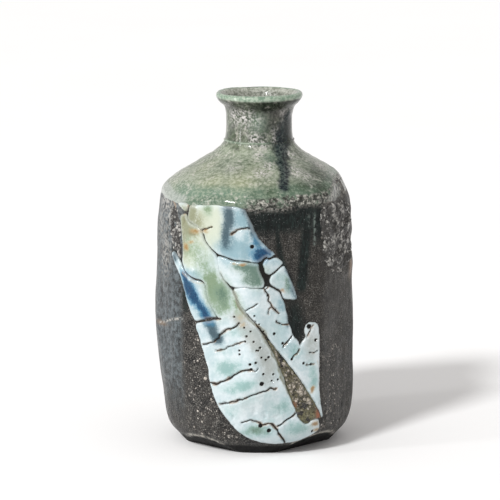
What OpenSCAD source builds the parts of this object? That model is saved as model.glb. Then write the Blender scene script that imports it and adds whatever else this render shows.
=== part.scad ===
// Sake bottle: a stoneware bottle thrown in sections, its wall pared with a knife into soft
// facets, with cracked white slip on the front and green ash glaze over the shoulder and neck.
// Millimetres, +Z up. The origin is on the ground under the middle of the bottle, and the
// slipped front faces -Y. An azimuth is in degrees from the front, positive towards +X.

/* [Body] */
// Height of the bottle, foot to lip
bottle_h = 149; // [147:0.5:152]
// Distance from the throwing axis to the nearest pared facet
facet_d = 40.0; // [39.4:0.1:40.6]
// Radius of the cavity inside the wall
cavity_r = 35.5; // [33:0.5:36]
// Thickness of the floor
floor_t = 8; // [7:0.5:10]
// Radius of the contact circle under the foot
foot_r = 31.5; // [30:0.5:33]

/* [Neck] */
// Sideways offset of the neck from the body
neck_x = 2; // [0:0.5:3]
// Radius of the hole through the neck
bore_r = 10.5; // [8:0.5:11]
// Radius of the rolled lip, glaze included
lip_r = 18.3; // [17.5:0.1:19]

/* [Coats] */
// Thickness of the green ash glaze
ash_t = 0.5; // [0.3:0.1:0.8]
// Thickness of the glaze inside the cavity
lining_t = 0.4; // [0.3:0.1:0.6]
// Thickness of the white slip
slip_t = 0.9; // [0.5:0.1:1.2]
// Thickness of the rough grit
grit_t = 0.6; // [0.3:0.1:0.9]

/* [Hidden] */

// The turning axis stands behind the middle, so that slip in front and clay behind reach equally far
turn_y = 0.5;
foot_x = 1.4;        // the foot was turned a little off the body's axis
seat_z = 5;          // the wall stands on the base slab here
wall_top_z = 103;    // the shoulder is luted on here
collar_z = 127.5;    // the neck is luted on here
lip_z = bottle_h - 6;    // the lip coil is luted on here
bore_top_z = bottle_h - 12;  // the straight bore ends and the mouth flares
tenon_z = 120.5;     // bottom of the neck's tenon
tenon_r = 12.5;
base_tenon_r = 30;
rebate_r = 37.5;     // outside of the shoulder's tenon
rebate_h = 3;
round_n = 96;
reach = 60;          // longer than anything from the axis
map_r = 41.2;        // mean radius that turns an azimuth into a width on the wall

CLAY_DARK = [0.20, 0.20, 0.21];
ASH_GREEN = [0.45, 0.52, 0.43];
SLIP_WHITE = [0.90, 0.94, 0.94];
GRIT_BROWN = [0.40, 0.36, 0.28];

// Thrown outside of the wall, radius and height
THROWN = [[44, 0], [42.6, 20], [42.4, 48], [42.2, 60], [41.6, 75], [41, 90], [40.9, 106],
    [40.9, 135]];
// Belly turned in towards the foot
BELLY = [[foot_r, 0], [34.2, 3], [37, 6], [38.8, 9], [39.8, 12], [40.9, 18], [42, 26], [43.4, 40],
    [50, 80], [50, 135]];
// Knife facets round the wall: azimuth and distance beyond the nearest facet
FACETS = [[-66, 1.2], [-22, 0.2], [20, 0.2], [62, 0], [106, -0.4], [150, 0], [-166, 0.2],
    [-112, 1.2]];
// Low facet that leans in towards the foot: azimuth, distance, height of its top, lean
LOW_FACET = [-84, 42.2, 49, 6.6];
// Undercut bevels at the foot: azimuth and distance at the ground
BEVELS = [[-42, 27], [45, 28], [135, 27.5], [-135, 27.5]];
BEVEL_LEAN = 55;

// Glazed outside of shoulder and neck, radius from the neck's axis and height
SHOULDER = [[47, 98], [43.5, 103.8], [42, 106.8], [40.4, 109.2], [38.2, 111.6], [34.8, 114],
    [30.2, 116.6], [24.6, 119.8], [20.1, 122.6], [17.1, 125], [15.2, 127.3], [14.8, 128]];
NECK = [[14.4, 129.2], [14.1, 131], [13.9, 136], [14.1, 140], [15, bottle_h - 6],
    [16.4, bottle_h - 4]];
LIP = [[lip_r - 0.6, bottle_h - 2.6], [lip_r, bottle_h - 1.5], [lip_r - 0.3, bottle_h - 0.6],
    [lip_r - 1.2, bottle_h], [lip_r - 2.2, bottle_h - 0.3]];
FUNNEL = [[13, bottle_h - 5.5], [bore_r + 0.6, bore_top_z + 1.6], [bore_r, bore_top_z]];

// Cracks that part the slip, azimuth and height
SEAM_MAIN = [[-39.8, 105.5], [-41.6, 102], [-42, 98.5], [-36.5, 97.5], [-32, 95.5], [-31, 93.5],
    [-29.5, 90.5], [-26.5, 88.5], [-22.5, 86], [-17.5, 85], [-12, 84], [-7.5, 84], [-4.5, 83.5],
    [0.5, 83], [3, 83.5]];
SEAM_BLADE = [[-13, 71.3], [-5, 62.5], [0.5, 58], [8.5, 50.5], [15.5, 44], [21.5, 38.5],
    [28.5, 32], [34, 26], [38.5, 20], [43.3, 14.5]];
SEAM_GRIT = [[-5.5, 62.5], [0, 58], [7, 50.5], [9.5, 47], [12.5, 42.5], [16.5, 36], [19, 30.5],
    [22, 24.5], [25.5, 19.5], [26.5, 16.5], [29, 14.5], [32.5, 13], [37, 15], [40.5, 15]];
TONGUE_LEFT = [[-43.4, 101.6], [-46, 101.6], [-49.5, 100.6], [-47.5, 95], [-46, 87],
    [-46.5, 80.6], [-43, 77.2], [-38.5, 75.2], [-30, 74.6], [-29, 68], [-25.6, 63], [-22, 59.4],
    [-22.2, 58.4], [-24.5, 58.3], [-28.5, 57.4], [-32.5, 56.8], [-36.8, 55.9], [-34, 50],
    [-31.5, 44.5], [-28, 37], [-27.5, 32], [-25, 26], [-21, 20.5], [-15.5, 15], [-8.5, 10],
    [-2.5, 7.5], [5.5, 5.5], [13, 4.7], [22, 5], [29.5, 5.2], [34, 6.4], [38, 7.6], [42.2, 9.6],
    [42, 11.5]];
TONGUE_MIDDLE = [[-13, 71], [-16, 73.4], [-18.8, 75.6], [-20.9, 78.3], [-21.8, 82],
    [-22.8, 85.4]];
CROWN_RIGHT = [[7, 85.8], [8, 84.8], [11, 85.8], [12.5, 86.5], [9.5, 88], [4.5, 91], [0.5, 96],
    [-4, 103], [-6, 105.5]];
EDGE_STRIP = [[-57.5, 84.5], [-53.5, 80], [-47.5, 75], [-44, 69], [-41, 64], [-38.5, 59.5],
    [-36.3, 57], [-32.5, 57.8], [-28.5, 58.4], [-24.5, 59.3], [-22.7, 59.4], [-26, 63],
    [-29.6, 68], [-30.5, 73.8], [-38.5, 74.4], [-43, 76.5], [-47, 80], [-52, 84.5]];
MIDDLE = [[-22, 85.2], [-17.5, 84.5], [-12, 83.5], [-7.5, 83.5], [-4.5, 83], [0.5, 82.5],
    [2.4, 82.5], [2.5, 80], [4.3, 77], [5.6, 74.5], [4.8, 72.6], [1.5, 73], [-2.5, 73],
    [-4, 73.4], [-8.5, 73], [-12.5, 72.8], [-15.6, 74.4], [-18.2, 76.4], [-20.2, 78.7],
    [-21, 82]];
BLADE_TOP = [[-13, 71.6], [-8.5, 72.2], [-4, 72.6], [-2.5, 72.1], [1.5, 72.1], [5.2, 71.8],
    [6.2, 73], [8, 73.2], [12, 71.6], [15, 70.1], [15.6, 68.3], [17.3, 66.4]];
BLADE_RIGHT = [[18.8, 63.3], [20, 58], [22, 54.5], [22.6, 51.5], [26.4, 49.3], [27.7, 46.7],
    [28.9, 48.3], [32, 50.3], [30.7, 53.3], [31.4, 55.4], [33.8, 56.8], [38.7, 56], [39.4, 52.8],
    [39.4, 44.3], [39.4, 25], [41.8, 18.4], [43.8, 14.4]];
CHIP_UPPER = [[4.6, 83.2], [7.4, 85], [8.4, 84], [11, 85], [13.5, 84.8], [17.5, 82.7],
    [16, 81.7], [14.3, 80.9], [12, 79.4], [8.7, 78], [6, 79], [5.5, 80.5]];
CHIP_OUTER = [[18.2, 81.6], [21, 77], [23, 74], [25, 70.5], [26.5, 66.8], [22, 66.8],
    [18, 67.4], [16.4, 68.8], [15.9, 70.9], [12.3, 72.5], [8.8, 74], [9.2, 77.4], [12.3, 78.7],
    [14.8, 80.2], [16.2, 81]];
CHIP_CORNER = [[-52.5, 105.5], [-41.6, 105.5], [-42.6, 103.6], [-44.4, 102.3], [-48.5, 104]];
PATCH_LEFT = [[-59, 103], [-54, 103.8], [-50.4, 100], [-48.4, 95], [-47, 87], [-47.4, 81.6],
    [-52.2, 85.2], [-56.5, 86], [-58.5, 95]];
PATCH_RIGHT = [[42, 105], [60, 105], [76, 104], [80, 97], [78, 90], [80, 82], [72, 77],
    [60, 75.5], [50, 78], [44, 84], [46, 92], [42, 98]];

// A line of points moved by an azimuth and a height
function moved(line, da, dz) = [for (p = line) [p[0] + da, p[1] + dz]];
// A list in reverse order
function back(line) = [for (i = [len(line) - 1:-1:0]) line[i]];
// A profile grown outwards by g
function grown(line, g) = [for (p = line) [p[0] + g, p[1]]];
// A turned profile closed on its axis
function on_axis(line) = concat([[0, line[0][1]]], line, [[0, line[len(line) - 1][1]]]);

// Everything turned stands on an axis x to the side of the middle
module turned(x, points) translate([x, turn_y, 0]) rotate_extrude($fn = round_n) polygon(points);

module drum(x, r, z0, z1) translate([x, turn_y, z0]) cylinder(r = r, h = z1 - z0, $fn = round_n);

// Knife cut: takes off everything beyond distance d at an azimuth, leaning about height z
module pare(azimuth, d, lean = 0, z = 0)
    translate([0, turn_y, 0]) rotate([0, 0, azimuth]) translate([0, -d, z]) rotate([lean, 0, 0])
        translate([-reach, -reach, -3 * reach]) cube([2 * reach, reach, 6 * reach]);

// Outside of the wall, thrown, turned in at the foot and pared, grown outwards by g
module pared_form(g = 0) difference() {
    intersection() {
        turned(0, on_axis(grown(THROWN, g)));
        turned(foot_x, on_axis(grown(BELLY, g)));
    }
    for (f = FACETS) pare(f[0], facet_d + f[1] + g);
    pare(LOW_FACET[0], LOW_FACET[1] + g, LOW_FACET[3], LOW_FACET[2]);
    for (b = BEVELS) pare(b[0], b[1], BEVEL_LEAN);
}

// Hollow of the bottle, shrunk by s
module cavity(s = 0) {
    wall = [[base_tenon_r, floor_t], [33.5, 10], [35, 14], [cavity_r, 20], [cavity_r, 94], [34.5, 99],
        [33, wall_top_z]];
    dome = [[32, wall_top_z - 1], [30.5, 107], [27, 111], [22, 115], [17, 118.5], [tenon_r, tenon_z]];
    inset = [for (p = wall) [p[0] - s, max(p[1], floor_t + s)]];
    turned(0, on_axis(inset));
    turned(neck_x, on_axis([for (p = dome) [p[0] - s, p[1] - (p[1] > wall_top_z ? s : 0)]]));
}

// Shoulder and neck as one turned form, lowered and thinned by t under the glaze
module upper_form(t = 0) turned(neck_x, on_axis(concat(
    [for (p = SHOULDER) [p[0] - (p[1] > 127 ? t : 0), p[1] - (p[1] > 127 ? 0 : t)]],
    grown(NECK, -t), [for (p = LIP) [p[0] - (p[0] > lip_r - 1.5 ? t : -t), p[1] - t]])));

// Funnel and bore down through lip and neck, widened by t under the glaze of the mouth
module mouth_form(t = 0) union() {
    turned(neck_x, on_axis(concat([[LIP[4][0] + t, bottle_h + 1], [LIP[4][0] + t, bottle_h - 0.3 - t]],
        [for (p = FUNNEL) [p[0] + (p[1] > bore_top_z ? t : 0), p[1]]])));
    drum(neck_x, bore_r, tenon_z - 1, bore_top_z);
}

// A flat outline over the wall at an azimuth, extruded inwards from outside
module stencil(outline, facing)
    translate([0, turn_y, 0]) rotate([0, 0, facing]) rotate([90, 0, 0]) translate([0, 0, 15])
        linear_extrude(reach) polygon([for (p = outline) [map_r * sin(p[0] - facing), p[1]]]);

// A coat of thickness t on the wall inside an outline
module coat(outline, t, facing) intersection() {
    difference() {
        pared_form(t);
        pared_form();
    }
    stencil(outline, facing);
}

module base_slab() color(CLAY_DARK) union() {
    intersection() {
        pared_form();
        drum(0, reach, 0, seat_z);
    }
    drum(0, base_tenon_r, 0, floor_t);
}

module body_wall() color(CLAY_DARK) difference() {
    intersection() {
        pared_form();
        drum(0, reach, seat_z, wall_top_z);
    }
    drum(0, base_tenon_r, 0, floor_t);
    cavity();
    drum(0, rebate_r, wall_top_z - rebate_h, wall_top_z + 1);
}

module shoulder() color(CLAY_DARK) difference() {
    union() {
        intersection() {
            upper_form(ash_t);
            pared_form();
            drum(0, reach, wall_top_z, collar_z);
        }
        drum(0, rebate_r, wall_top_z - rebate_h, wall_top_z);
    }
    cavity();
    drum(neck_x, tenon_r, wall_top_z, bottle_h);
}

module neck() color(CLAY_DARK) difference() {
    intersection() {
        upper_form(ash_t);
        union() {
            drum(neck_x, reach, collar_z, lip_z);
            drum(neck_x, tenon_r, tenon_z, collar_z);
        }
    }
    mouth_form(ash_t);
}

module lip_roll() color(CLAY_DARK) difference() {
    intersection() {
        upper_form(ash_t);
        drum(neck_x, reach, lip_z, bottle_h);
    }
    mouth_form(ash_t);
}

module neck_ring() color(ASH_GREEN) turned(neck_x, [[14.8, 128], [15.1, 128.3], [14.95, 128.8],
    [14.4, 129.2]]);

module inner_glaze() color(SLIP_WHITE) difference() {
    cavity();
    cavity(lining_t);
    drum(neck_x, tenon_r, tenon_z - 1, bottle_h);
}

module ash_glaze() color(ASH_GREEN) difference() {
    intersection() {
        upper_form();
        union() {
            pared_form();
            drum(neck_x, 30, 116, bottle_h + 1);
        }
        drum(0, reach, wall_top_z, bottle_h + 1);
    }
    difference() {
        upper_form(ash_t);
        mouth_form(ash_t);
    }
    mouth_form();
    drum(neck_x, bore_r, wall_top_z, bottle_h);
}

module slip_crown() color(SLIP_WHITE) coat(concat(moved(SEAM_MAIN, 0.4, 0.3), CROWN_RIGHT),
    slip_t, -15);

module slip_tongue() color(SLIP_WHITE) coat(concat(TONGUE_LEFT, back(SEAM_GRIT), TONGUE_MIDDLE,
    [for (p = back(moved(SEAM_MAIN, -0.4, -0.3))) if (p[0] < -26 && p[1] < 100) p]), slip_t, -5);

module slip_edge_strip() color(SLIP_WHITE) coat(EDGE_STRIP, slip_t, -40);

module slip_middle() color(SLIP_WHITE) coat(MIDDLE, slip_t, -10);

module slip_blade() color(SLIP_WHITE) coat(concat(BLADE_TOP, BLADE_RIGHT,
    back(moved([for (i = [1:8]) SEAM_BLADE[i]], 0.3, 0.2))), slip_t, 15);

module slip_chip_upper() color(SLIP_WHITE) coat(CHIP_UPPER, slip_t, 10);

module slip_chip_outer() color(SLIP_WHITE) coat(CHIP_OUTER, slip_t, 18);

module slip_chip_corner() color(SLIP_WHITE) coat(CHIP_CORNER, slip_t, -47);

module grit_strip() color(GRIT_BROWN) coat(concat(
    moved([for (i = [1:9]) SEAM_BLADE[i]], -0.1, -0.1), back(moved(SEAM_GRIT, 0.1, 0.1))), grit_t, 20);

module grit_patch_left() color(CLAY_DARK) coat(PATCH_LEFT, grit_t, -52);

module grit_patch_right() color(CLAY_DARK) coat(PATCH_RIGHT, grit_t, 60);

base_slab();
body_wall();
shoulder();
neck();
lip_roll();
neck_ring();
inner_glaze();
ash_glaze();
slip_crown();
slip_tongue();
slip_edge_strip();
slip_middle();
slip_blade();
slip_chip_upper();
slip_chip_outer();
slip_chip_corner();
grit_strip();
grit_patch_left();
grit_patch_right();
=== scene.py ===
"""Sake bottle: clay sections, glazes and cracked slip as numpy surfaces, with procedural finishes.

Heights and radii are in millimetres in the row frame, +Z up, the slipped front facing -Y. An azimuth is
in degrees from the front, positive towards +X. Meshes are turned to metres when they are made.
"""

import bpy
import numpy as np
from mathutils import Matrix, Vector


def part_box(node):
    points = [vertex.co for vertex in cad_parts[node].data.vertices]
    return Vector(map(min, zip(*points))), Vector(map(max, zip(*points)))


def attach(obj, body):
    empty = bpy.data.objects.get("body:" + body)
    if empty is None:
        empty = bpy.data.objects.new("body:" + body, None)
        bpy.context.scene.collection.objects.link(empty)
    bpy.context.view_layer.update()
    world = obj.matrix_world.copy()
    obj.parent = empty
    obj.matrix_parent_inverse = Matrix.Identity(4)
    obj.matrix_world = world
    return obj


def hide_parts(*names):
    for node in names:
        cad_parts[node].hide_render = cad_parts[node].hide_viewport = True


bl_info = {
    "name": "Faceted Sake Bottle",
    "version": (1, 0, 0),
    "blender": (4, 5, 0),
    "location": "3D View > Sidebar > Bottle",
    "description": "Builds a faceted stoneware sake bottle with ash glaze and cracked white slip",
    "category": "Add Mesh",
}

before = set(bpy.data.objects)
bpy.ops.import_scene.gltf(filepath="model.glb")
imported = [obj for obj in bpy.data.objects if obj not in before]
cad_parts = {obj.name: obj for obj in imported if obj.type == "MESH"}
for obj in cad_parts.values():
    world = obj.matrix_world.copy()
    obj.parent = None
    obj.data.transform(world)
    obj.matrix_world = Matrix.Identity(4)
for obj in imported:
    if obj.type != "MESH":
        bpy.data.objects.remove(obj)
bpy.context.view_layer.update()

MM = 0.001


def span(node, axis):
    """Lowest and highest value of a CAD node along one axis, in millimetres."""
    low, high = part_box(node)
    return low[axis] / MM, high[axis] / MM


def middle(node, axis):
    """Middle of a CAD node along one axis, in millimetres."""
    return sum(span(node, axis)) / 2


def half_width(node):
    """Half the width of a turned CAD node, in millimetres."""
    low, high = span(node, 0)
    return (high - low) / 2


# Driving sizes that the frame holds
TURN_Y = middle("inner_glaze", 1)  # the turning axis stands this far behind the middle
NECK_X = middle("neck", 0)  # the neck stands this far to the side
TOP_Z = span("ash_glaze", 2)[1]
SEAT_Z, WALL_TOP_Z = span("body_wall", 2)
FLOOR_Z = span("base_slab", 2)[1]
TENON_Z = span("neck", 2)[0]
RING_Z = middle("neck_ring", 2)
CAVITY_R = half_width("inner_glaze")

# Driving sizes set here
GLAZE_T = 0.5  # the ash glaze stands this far off the clay
LIP_R = half_width("lip_roll") + GLAZE_T
BORE_R = 10.5
BORE_TOP_Z = TOP_Z - 12
COLLAR_Z = 127.5  # foot of the neck, where the shoulder ends
FOOT_X = 1.4  # the foot stands this far to the side
MAP_R = 41.2  # mean radius that turns an azimuth into a width on the wall
GLAZE_EDGE_Z = 105.4  # the ash glaze ends at about this height on the wall
BASE_TENON_R = 30.0  # tenon of the foot slab inside the wall
NECK_TENON_R = 12.5  # hole in the shoulder that takes the neck's tenon
REBATE = (2, 3)  # width and depth of the step in the wall's top
COAT_BITE = 0.25  # the back of slip and grit lies this far inside the clay
GLAZE_SHELL = 0.55  # the back of the ash glaze lies this far under its middle surface
HEALED_SWELL, NEAR_SWELL, SWELL_WIDTH = 0.34, 0.20, 1.3  # slip widened along its healed and its narrow seams
MOUTH_ROWS = 30  # rows of the glaze that count as the mouth, from its end

# Thrown and turned outlines, height and radius
THROWN = [(0, 43), (20, 42.6), (48, 42.4), (60, 42.2), (75, 41.6), (90, 41.0), (106, 40.9), (135, 40.9)]
BELLY = [(0, 31.5), (3, 34.2), (6, 37.0), (9, 38.8), (12, 39.8), (18, 40.9), (26, 42.0), (40, 43.4),
         (80, 50.0), (135, 50.0)]
# Knife cuts: azimuth, distance from the axis, height of that distance, lean in degrees
PARED = [(-66, 41.2, 0, 0), (-22, 40.2, 0, 0), (20, 40.2, 0, 0), (62, 40.0, 0, 0), (106, 39.6, 0, 0),
         (150, 40.0, 0, 0), (-166, 40.2, 0, 0), (-112, 41.2, 0, 0), (-84, 42.2, 49, 6.6)]
# Bevels under the foot
BEVELS = [(-42, 27.0, 0, 55), (45, 28.0, 0, 55), (135, 27.5, 0, 55), (-135, 27.5, 0, 55)]
FACET_ROUND = 0.3  # how softly two cuts meet
SCRATCH = [(-76, 51.5), (-66, 53.4), (-55, 55.8), (-46, 57.3)]  # azimuth and height along a scratch
# Glazed dome of the shoulder: radius from the neck's axis, height
DOME = [(10, 134), (14.8, 128.0), (15.2, 127.3), (17.1, 125.0), (20.1, 122.6), (24.6, 119.8), (30.2, 116.6),
        (34.8, 114.0), (38.2, 111.6), (40.4, 109.2), (42.0, 106.8), (43.5, 103.8), (47.0, 98.0)]
# Glazed neck and lip down into the mouth: radius, height
NECK_LINE = [(14.95, 127.7), (14.4, 129.2), (14.1, 131.0), (13.9, 136.0), (14.1, 140.0), (15.0, TOP_Z - 6.0),
             (16.7, TOP_Z - 4.4), (LIP_R - 0.5, TOP_Z - 3.0), (LIP_R, TOP_Z - 1.5),
             (LIP_R - 0.3, TOP_Z - 0.6),
             (LIP_R - 1.2, TOP_Z), (LIP_R - 2.2, TOP_Z - 0.3), (13.0, TOP_Z - 5.5), (BORE_R + 0.8,
                                                                                     BORE_TOP_Z + 1.8),
             (BORE_R, BORE_TOP_Z)]

# Slip outlines, azimuth and height
SEAM_MAIN = [(-39.8, 106.4), (-41.6, 102), (-42, 98.5), (-36.5, 97.5), (-32, 95.5), (-31, 93.5),
             (-29.5, 90.5),
             (-26.5, 88.5), (-22.5, 86), (-17.5, 85), (-12, 84), (-7.5, 84), (-4.5, 83.5), (0.5, 83),
             (3, 83.5)]
SEAM_BLADE = [(-13, 71.3), (-5, 62.5), (0.5, 58), (8.5, 50.5), (15.5, 44), (21.5, 38.5), (28.5, 32), (34, 26),
              (38.5, 20), (43.3, 14.5)]
SEAM_GRIT = [(-5.5, 62.5), (0, 58), (7, 50.5), (9.5, 47), (12.5, 42.5), (16.5, 36), (19, 30.5), (22, 24.5),
             (25.5, 19.5), (26.5, 16.5), (29, 14.5), (32.5, 13), (37, 15), (40.5, 15)]
TONGUE_LEFT = [(-43.4, 101.6), (-46, 101.6), (-49.5, 100.6), (-47.5, 95), (-46, 87), (-46.5, 80.6),
               (-43, 77.2),
               (-38.5, 75.2), (-30, 74.6), (-29, 68), (-25.6, 63), (-22, 59.4), (-22.2, 58.4), (-24.5, 58.3),
               (-28.5, 57.4), (-32.5, 56.8), (-36.8, 55.9), (-34, 50), (-31.5, 44.5), (-28, 37), (-27.5, 32),
               (-25, 26), (-21, 20.5), (-15.5, 15), (-8.5, 10), (-2.5, 7.5), (5.5, 5.5), (13, 4.7), (22, 5),
               (29.5, 5.2), (34, 6.4), (38, 7.6), (42.2, 9.6), (42, 11.5)]
TONGUE_MIDDLE = [(-13, 71), (-16, 73.4), (-18.8, 75.6), (-20.9, 78.3), (-21.8, 82), (-22.8, 85.4)]
CROWN_RIGHT = [(7, 85.8), (8, 84.8), (11, 85.8), (12.5, 86.5), (9.5, 88), (4.5, 91), (0.5, 96), (-4, 103),
               (-6, 106.6)]
EDGE_STRIP = [(-57.5, 84.5), (-53.5, 80), (-47.5, 75), (-44, 69), (-41, 64), (-38.5, 59.5), (-36.3, 57),
              (-32.5, 57.8), (-28.5, 58.4), (-24.5, 59.3), (-22.7, 59.4), (-26, 63), (-29.6, 68),
              (-30.5, 73.8),
              (-38.5, 74.4), (-43, 76.5), (-47, 80), (-52, 84.5)]
MIDDLE = [(-22, 85.2), (-17.5, 84.5), (-12, 83.5), (-7.5, 83.5), (-4.5, 83), (0.5, 82.5), (2.4, 82.5),
          (2.5, 80),
          (4.3, 77), (5.6, 74.5), (4.8, 72.6), (1.5, 73), (-2.5, 73), (-4, 73.4), (-8.5, 73), (-12.5, 72.8),
          (-15.6, 74.4), (-18.2, 76.4), (-20.2, 78.7), (-21, 82)]
BLADE_TOP = [(-13, 71.6), (-8.5, 72.2), (-4, 72.6), (-2.5, 72.1), (1.5, 72.1), (5.2, 71.8), (6.2, 73),
             (8, 73.2),
             (12, 71.6), (15, 70.1), (15.6, 68.3), (17.3, 66.4)]
BLADE_RIGHT = [(18.8, 63.3), (20, 58), (22, 54.5), (22.6, 51.5), (26.4, 49.3), (27.7, 46.7), (28.9, 48.3),
               (32, 50.3), (30.7, 53.3), (31.4, 55.4), (33.8, 56.8), (38.7, 56), (39.4, 52.8), (39.4, 44.3),
               (39.4, 25), (41.8, 18.4), (43.8, 14.4)]
CHIP_UPPER = [(4.6, 83.2), (7.4, 85), (8.4, 84), (11, 85), (13.5, 84.8), (17.5, 82.7), (16, 81.7),
              (14.3, 80.9),
              (12, 79.4), (8.7, 78), (6, 79), (5.5, 80.5)]
CHIP_OUTER = [(18.2, 81.6), (21, 77), (23, 74), (25, 70.5), (26.5, 66.8), (22, 66.8), (18, 67.4),
              (16.4, 68.8),
              (15.9, 70.9), (12.3, 72.5), (8.8, 74), (9.2, 77.4), (12.3, 78.7), (14.8, 80.2), (16.2, 81)]
CHIP_CORNER = [(-52.5, 105.9), (-41.6, 106.2), (-42.6, 103.6), (-44.4, 102.3), (-48.5, 104)]
PATCH_LEFT = [(-59, 103), (-54, 103.8), (-50.4, 100), (-48.4, 95), (-47, 87), (-47.4, 81.6), (-52.2, 85.2),
              (-56.5, 86), (-58.5, 95)]
PATCH_RIGHT = [(42, 105), (60, 105), (76, 104), (80, 97), (78, 90), (80, 82), (72, 77), (60, 75.5), (50, 78),
               (44, 84), (46, 92), (42, 98)]

# Seams that the glaze has healed
HEALED = ([(-39.8, 106), (-41.6, 102), (-42, 98.5), (-36.5, 97.5), (-32, 95.5)],
          [(-30.5, 72.5), (-29.6, 68), (-26, 63), (-23.5, 60.6)], [(-12, 69.8), (-5.5, 62.7)],
          [(-21.6, 83), (-20.8, 79)])

# Cracks that stop inside an island: half width, then azimuth and height along each
CRACKS = [
    (0.30, [(-32, 95.5), (-29, 96.5), (-25.7, 97.5)]),
    (0.34, [(-13.5, 94.8), (-11.6, 96.0), (-7.5, 97.3), (-2.8, 97.5)]),
    (0.32, [(5.6, 72.2), (6.7, 70.8), (7.7, 69.7), (8.2, 67.0), (10.4, 64.5), (12.5, 63), (14.6, 61.3)]),
    (0.22, [(10.4, 64.5), (8.6, 63.6), (7.9, 61.6)]),
    (0.22, [(8.2, 73.7), (7.4, 72.5), (6.2, 71.6)]),
    (0.42, [(-36.5, 56.4), (-32.5, 57.3), (-28.5, 58.1), (-24.4, 59.0), (-20.5, 58.9)]),
    (0.34, [(-31.7, 47.1), (-28.5, 47.7), (-24.4, 48.9), (-21.2, 50.4), (-20.8, 52.2), (-16.7, 54.3),
            (-12.3, 55.6),
            (-8.3, 57.4)]),
    (0.24, [(-23.1, 45.4), (-19.5, 45.6), (-15.0, 47.3), (-9.8, 48.8), (-5.6, 50.0)]),
    (0.42, [(-28.5, 32.6), (-27.2, 31.4), (-24.0, 31.0), (-18.6, 32.2), (-11.5, 35.6), (-6.4, 37.4),
            (-1.6, 38.2)]),
    (0.24, [(-1.6, 38.2), (0.6, 37.4), (2.2, 38.8)]),
    (0.32, [(-20.4, 22.8), (-13.3, 23.8), (-7.3, 25.4), (-1.6, 27.1), (3.2, 28.2), (9.9, 30.0), (13, 29.4)]),
    (0.32, [(-7.5, 15.2), (-4.1, 16.2), (0.8, 16.0), (5.0, 14.4), (8.5, 14.8), (10.1, 14.6)]),
    (0.44, [(10.1, 14.6), (12.7, 12.9), (14.6, 10.3), (17.3, 7.8), (20.2, 5.4)]),
    (0.34, [(24.9, 18.3), (20.5, 16.1), (13.9, 13.5)]),
    (0.28, [(0.5, 58.6), (2.5, 56.2), (5, 53.4), (7, 51.2)]),
    (0.30, [(22.6, 51.5), (20.5, 49.5), (17.5, 47.2)]),
    (0.26, [(13.0, 58.2), (16.5, 56.6), (20.5, 56.4)]),
    (0.26, [(22.5, 41.7), (25.0, 43.5), (27.0, 45.4)]),
    (0.22, [(31, 38.9), (33, 38.4), (36, 38.7)]),
    (0.20, [(33.5, 44), (36, 43.6), (38.5, 44.4)]),
    (0.20, [(36, 55.5), (33.5, 52.6), (32, 50.6)]),
    (0.22, [(-5, 63), (-1.5, 64.4), (1.5, 66)]),
]
# Pinholes: azimuth, height, radius
PINHOLES = [(4.2, 32.1, 0.85), (3.6, 13.9, 0.85), (8.7, 11.7, 0.85), (33.2, 55.0, 0.95), (-1.3, 89.9, 0.75),
            (11.6, 53.0, 0.55), (22.5, 41.7, 0.5), (29.7, 39.6, 0.5), (34.1, 38.9, 0.5), (37.1, 49.0, 0.6),
            (37.0, 9.7, 0.5), (7.7, 69.5, 0.5), (-11.7, 60.2, 0.35), (-12.2, 55.6, 0.3), (-5.7, 55.9, 0.32),
            (-2.1, 54.4, 0.32), (-4.4, 52.3, 0.4), (-5.2, 50.1, 0.4), (-0.4, 50.1, 0.35), (3.2, 47.5, 0.42),
            (1.2, 46.4, 0.3), (2.2, 46.3, 0.3), (-8.6, 46.1, 0.35), (-8.5, 44.5, 0.35), (4.0, 43.3, 0.36),
            (8.2, 43.2, 0.46), (6.5, 42.2, 0.42), (-2.4, 40.5, 0.5), (0.8, 41.2, 0.45), (-1.8, 38.4, 0.55),
            (5.1, 36.2, 0.42), (11.0, 35.9, 0.38), (13.8, 33.5, 0.36), (10, 33.2, 0.3), (5, 54.2, 0.4),
            (2.6, 57.4, 0.3), (0, 61, 0.3), (16.8, 48.7, 0.5)]

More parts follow.
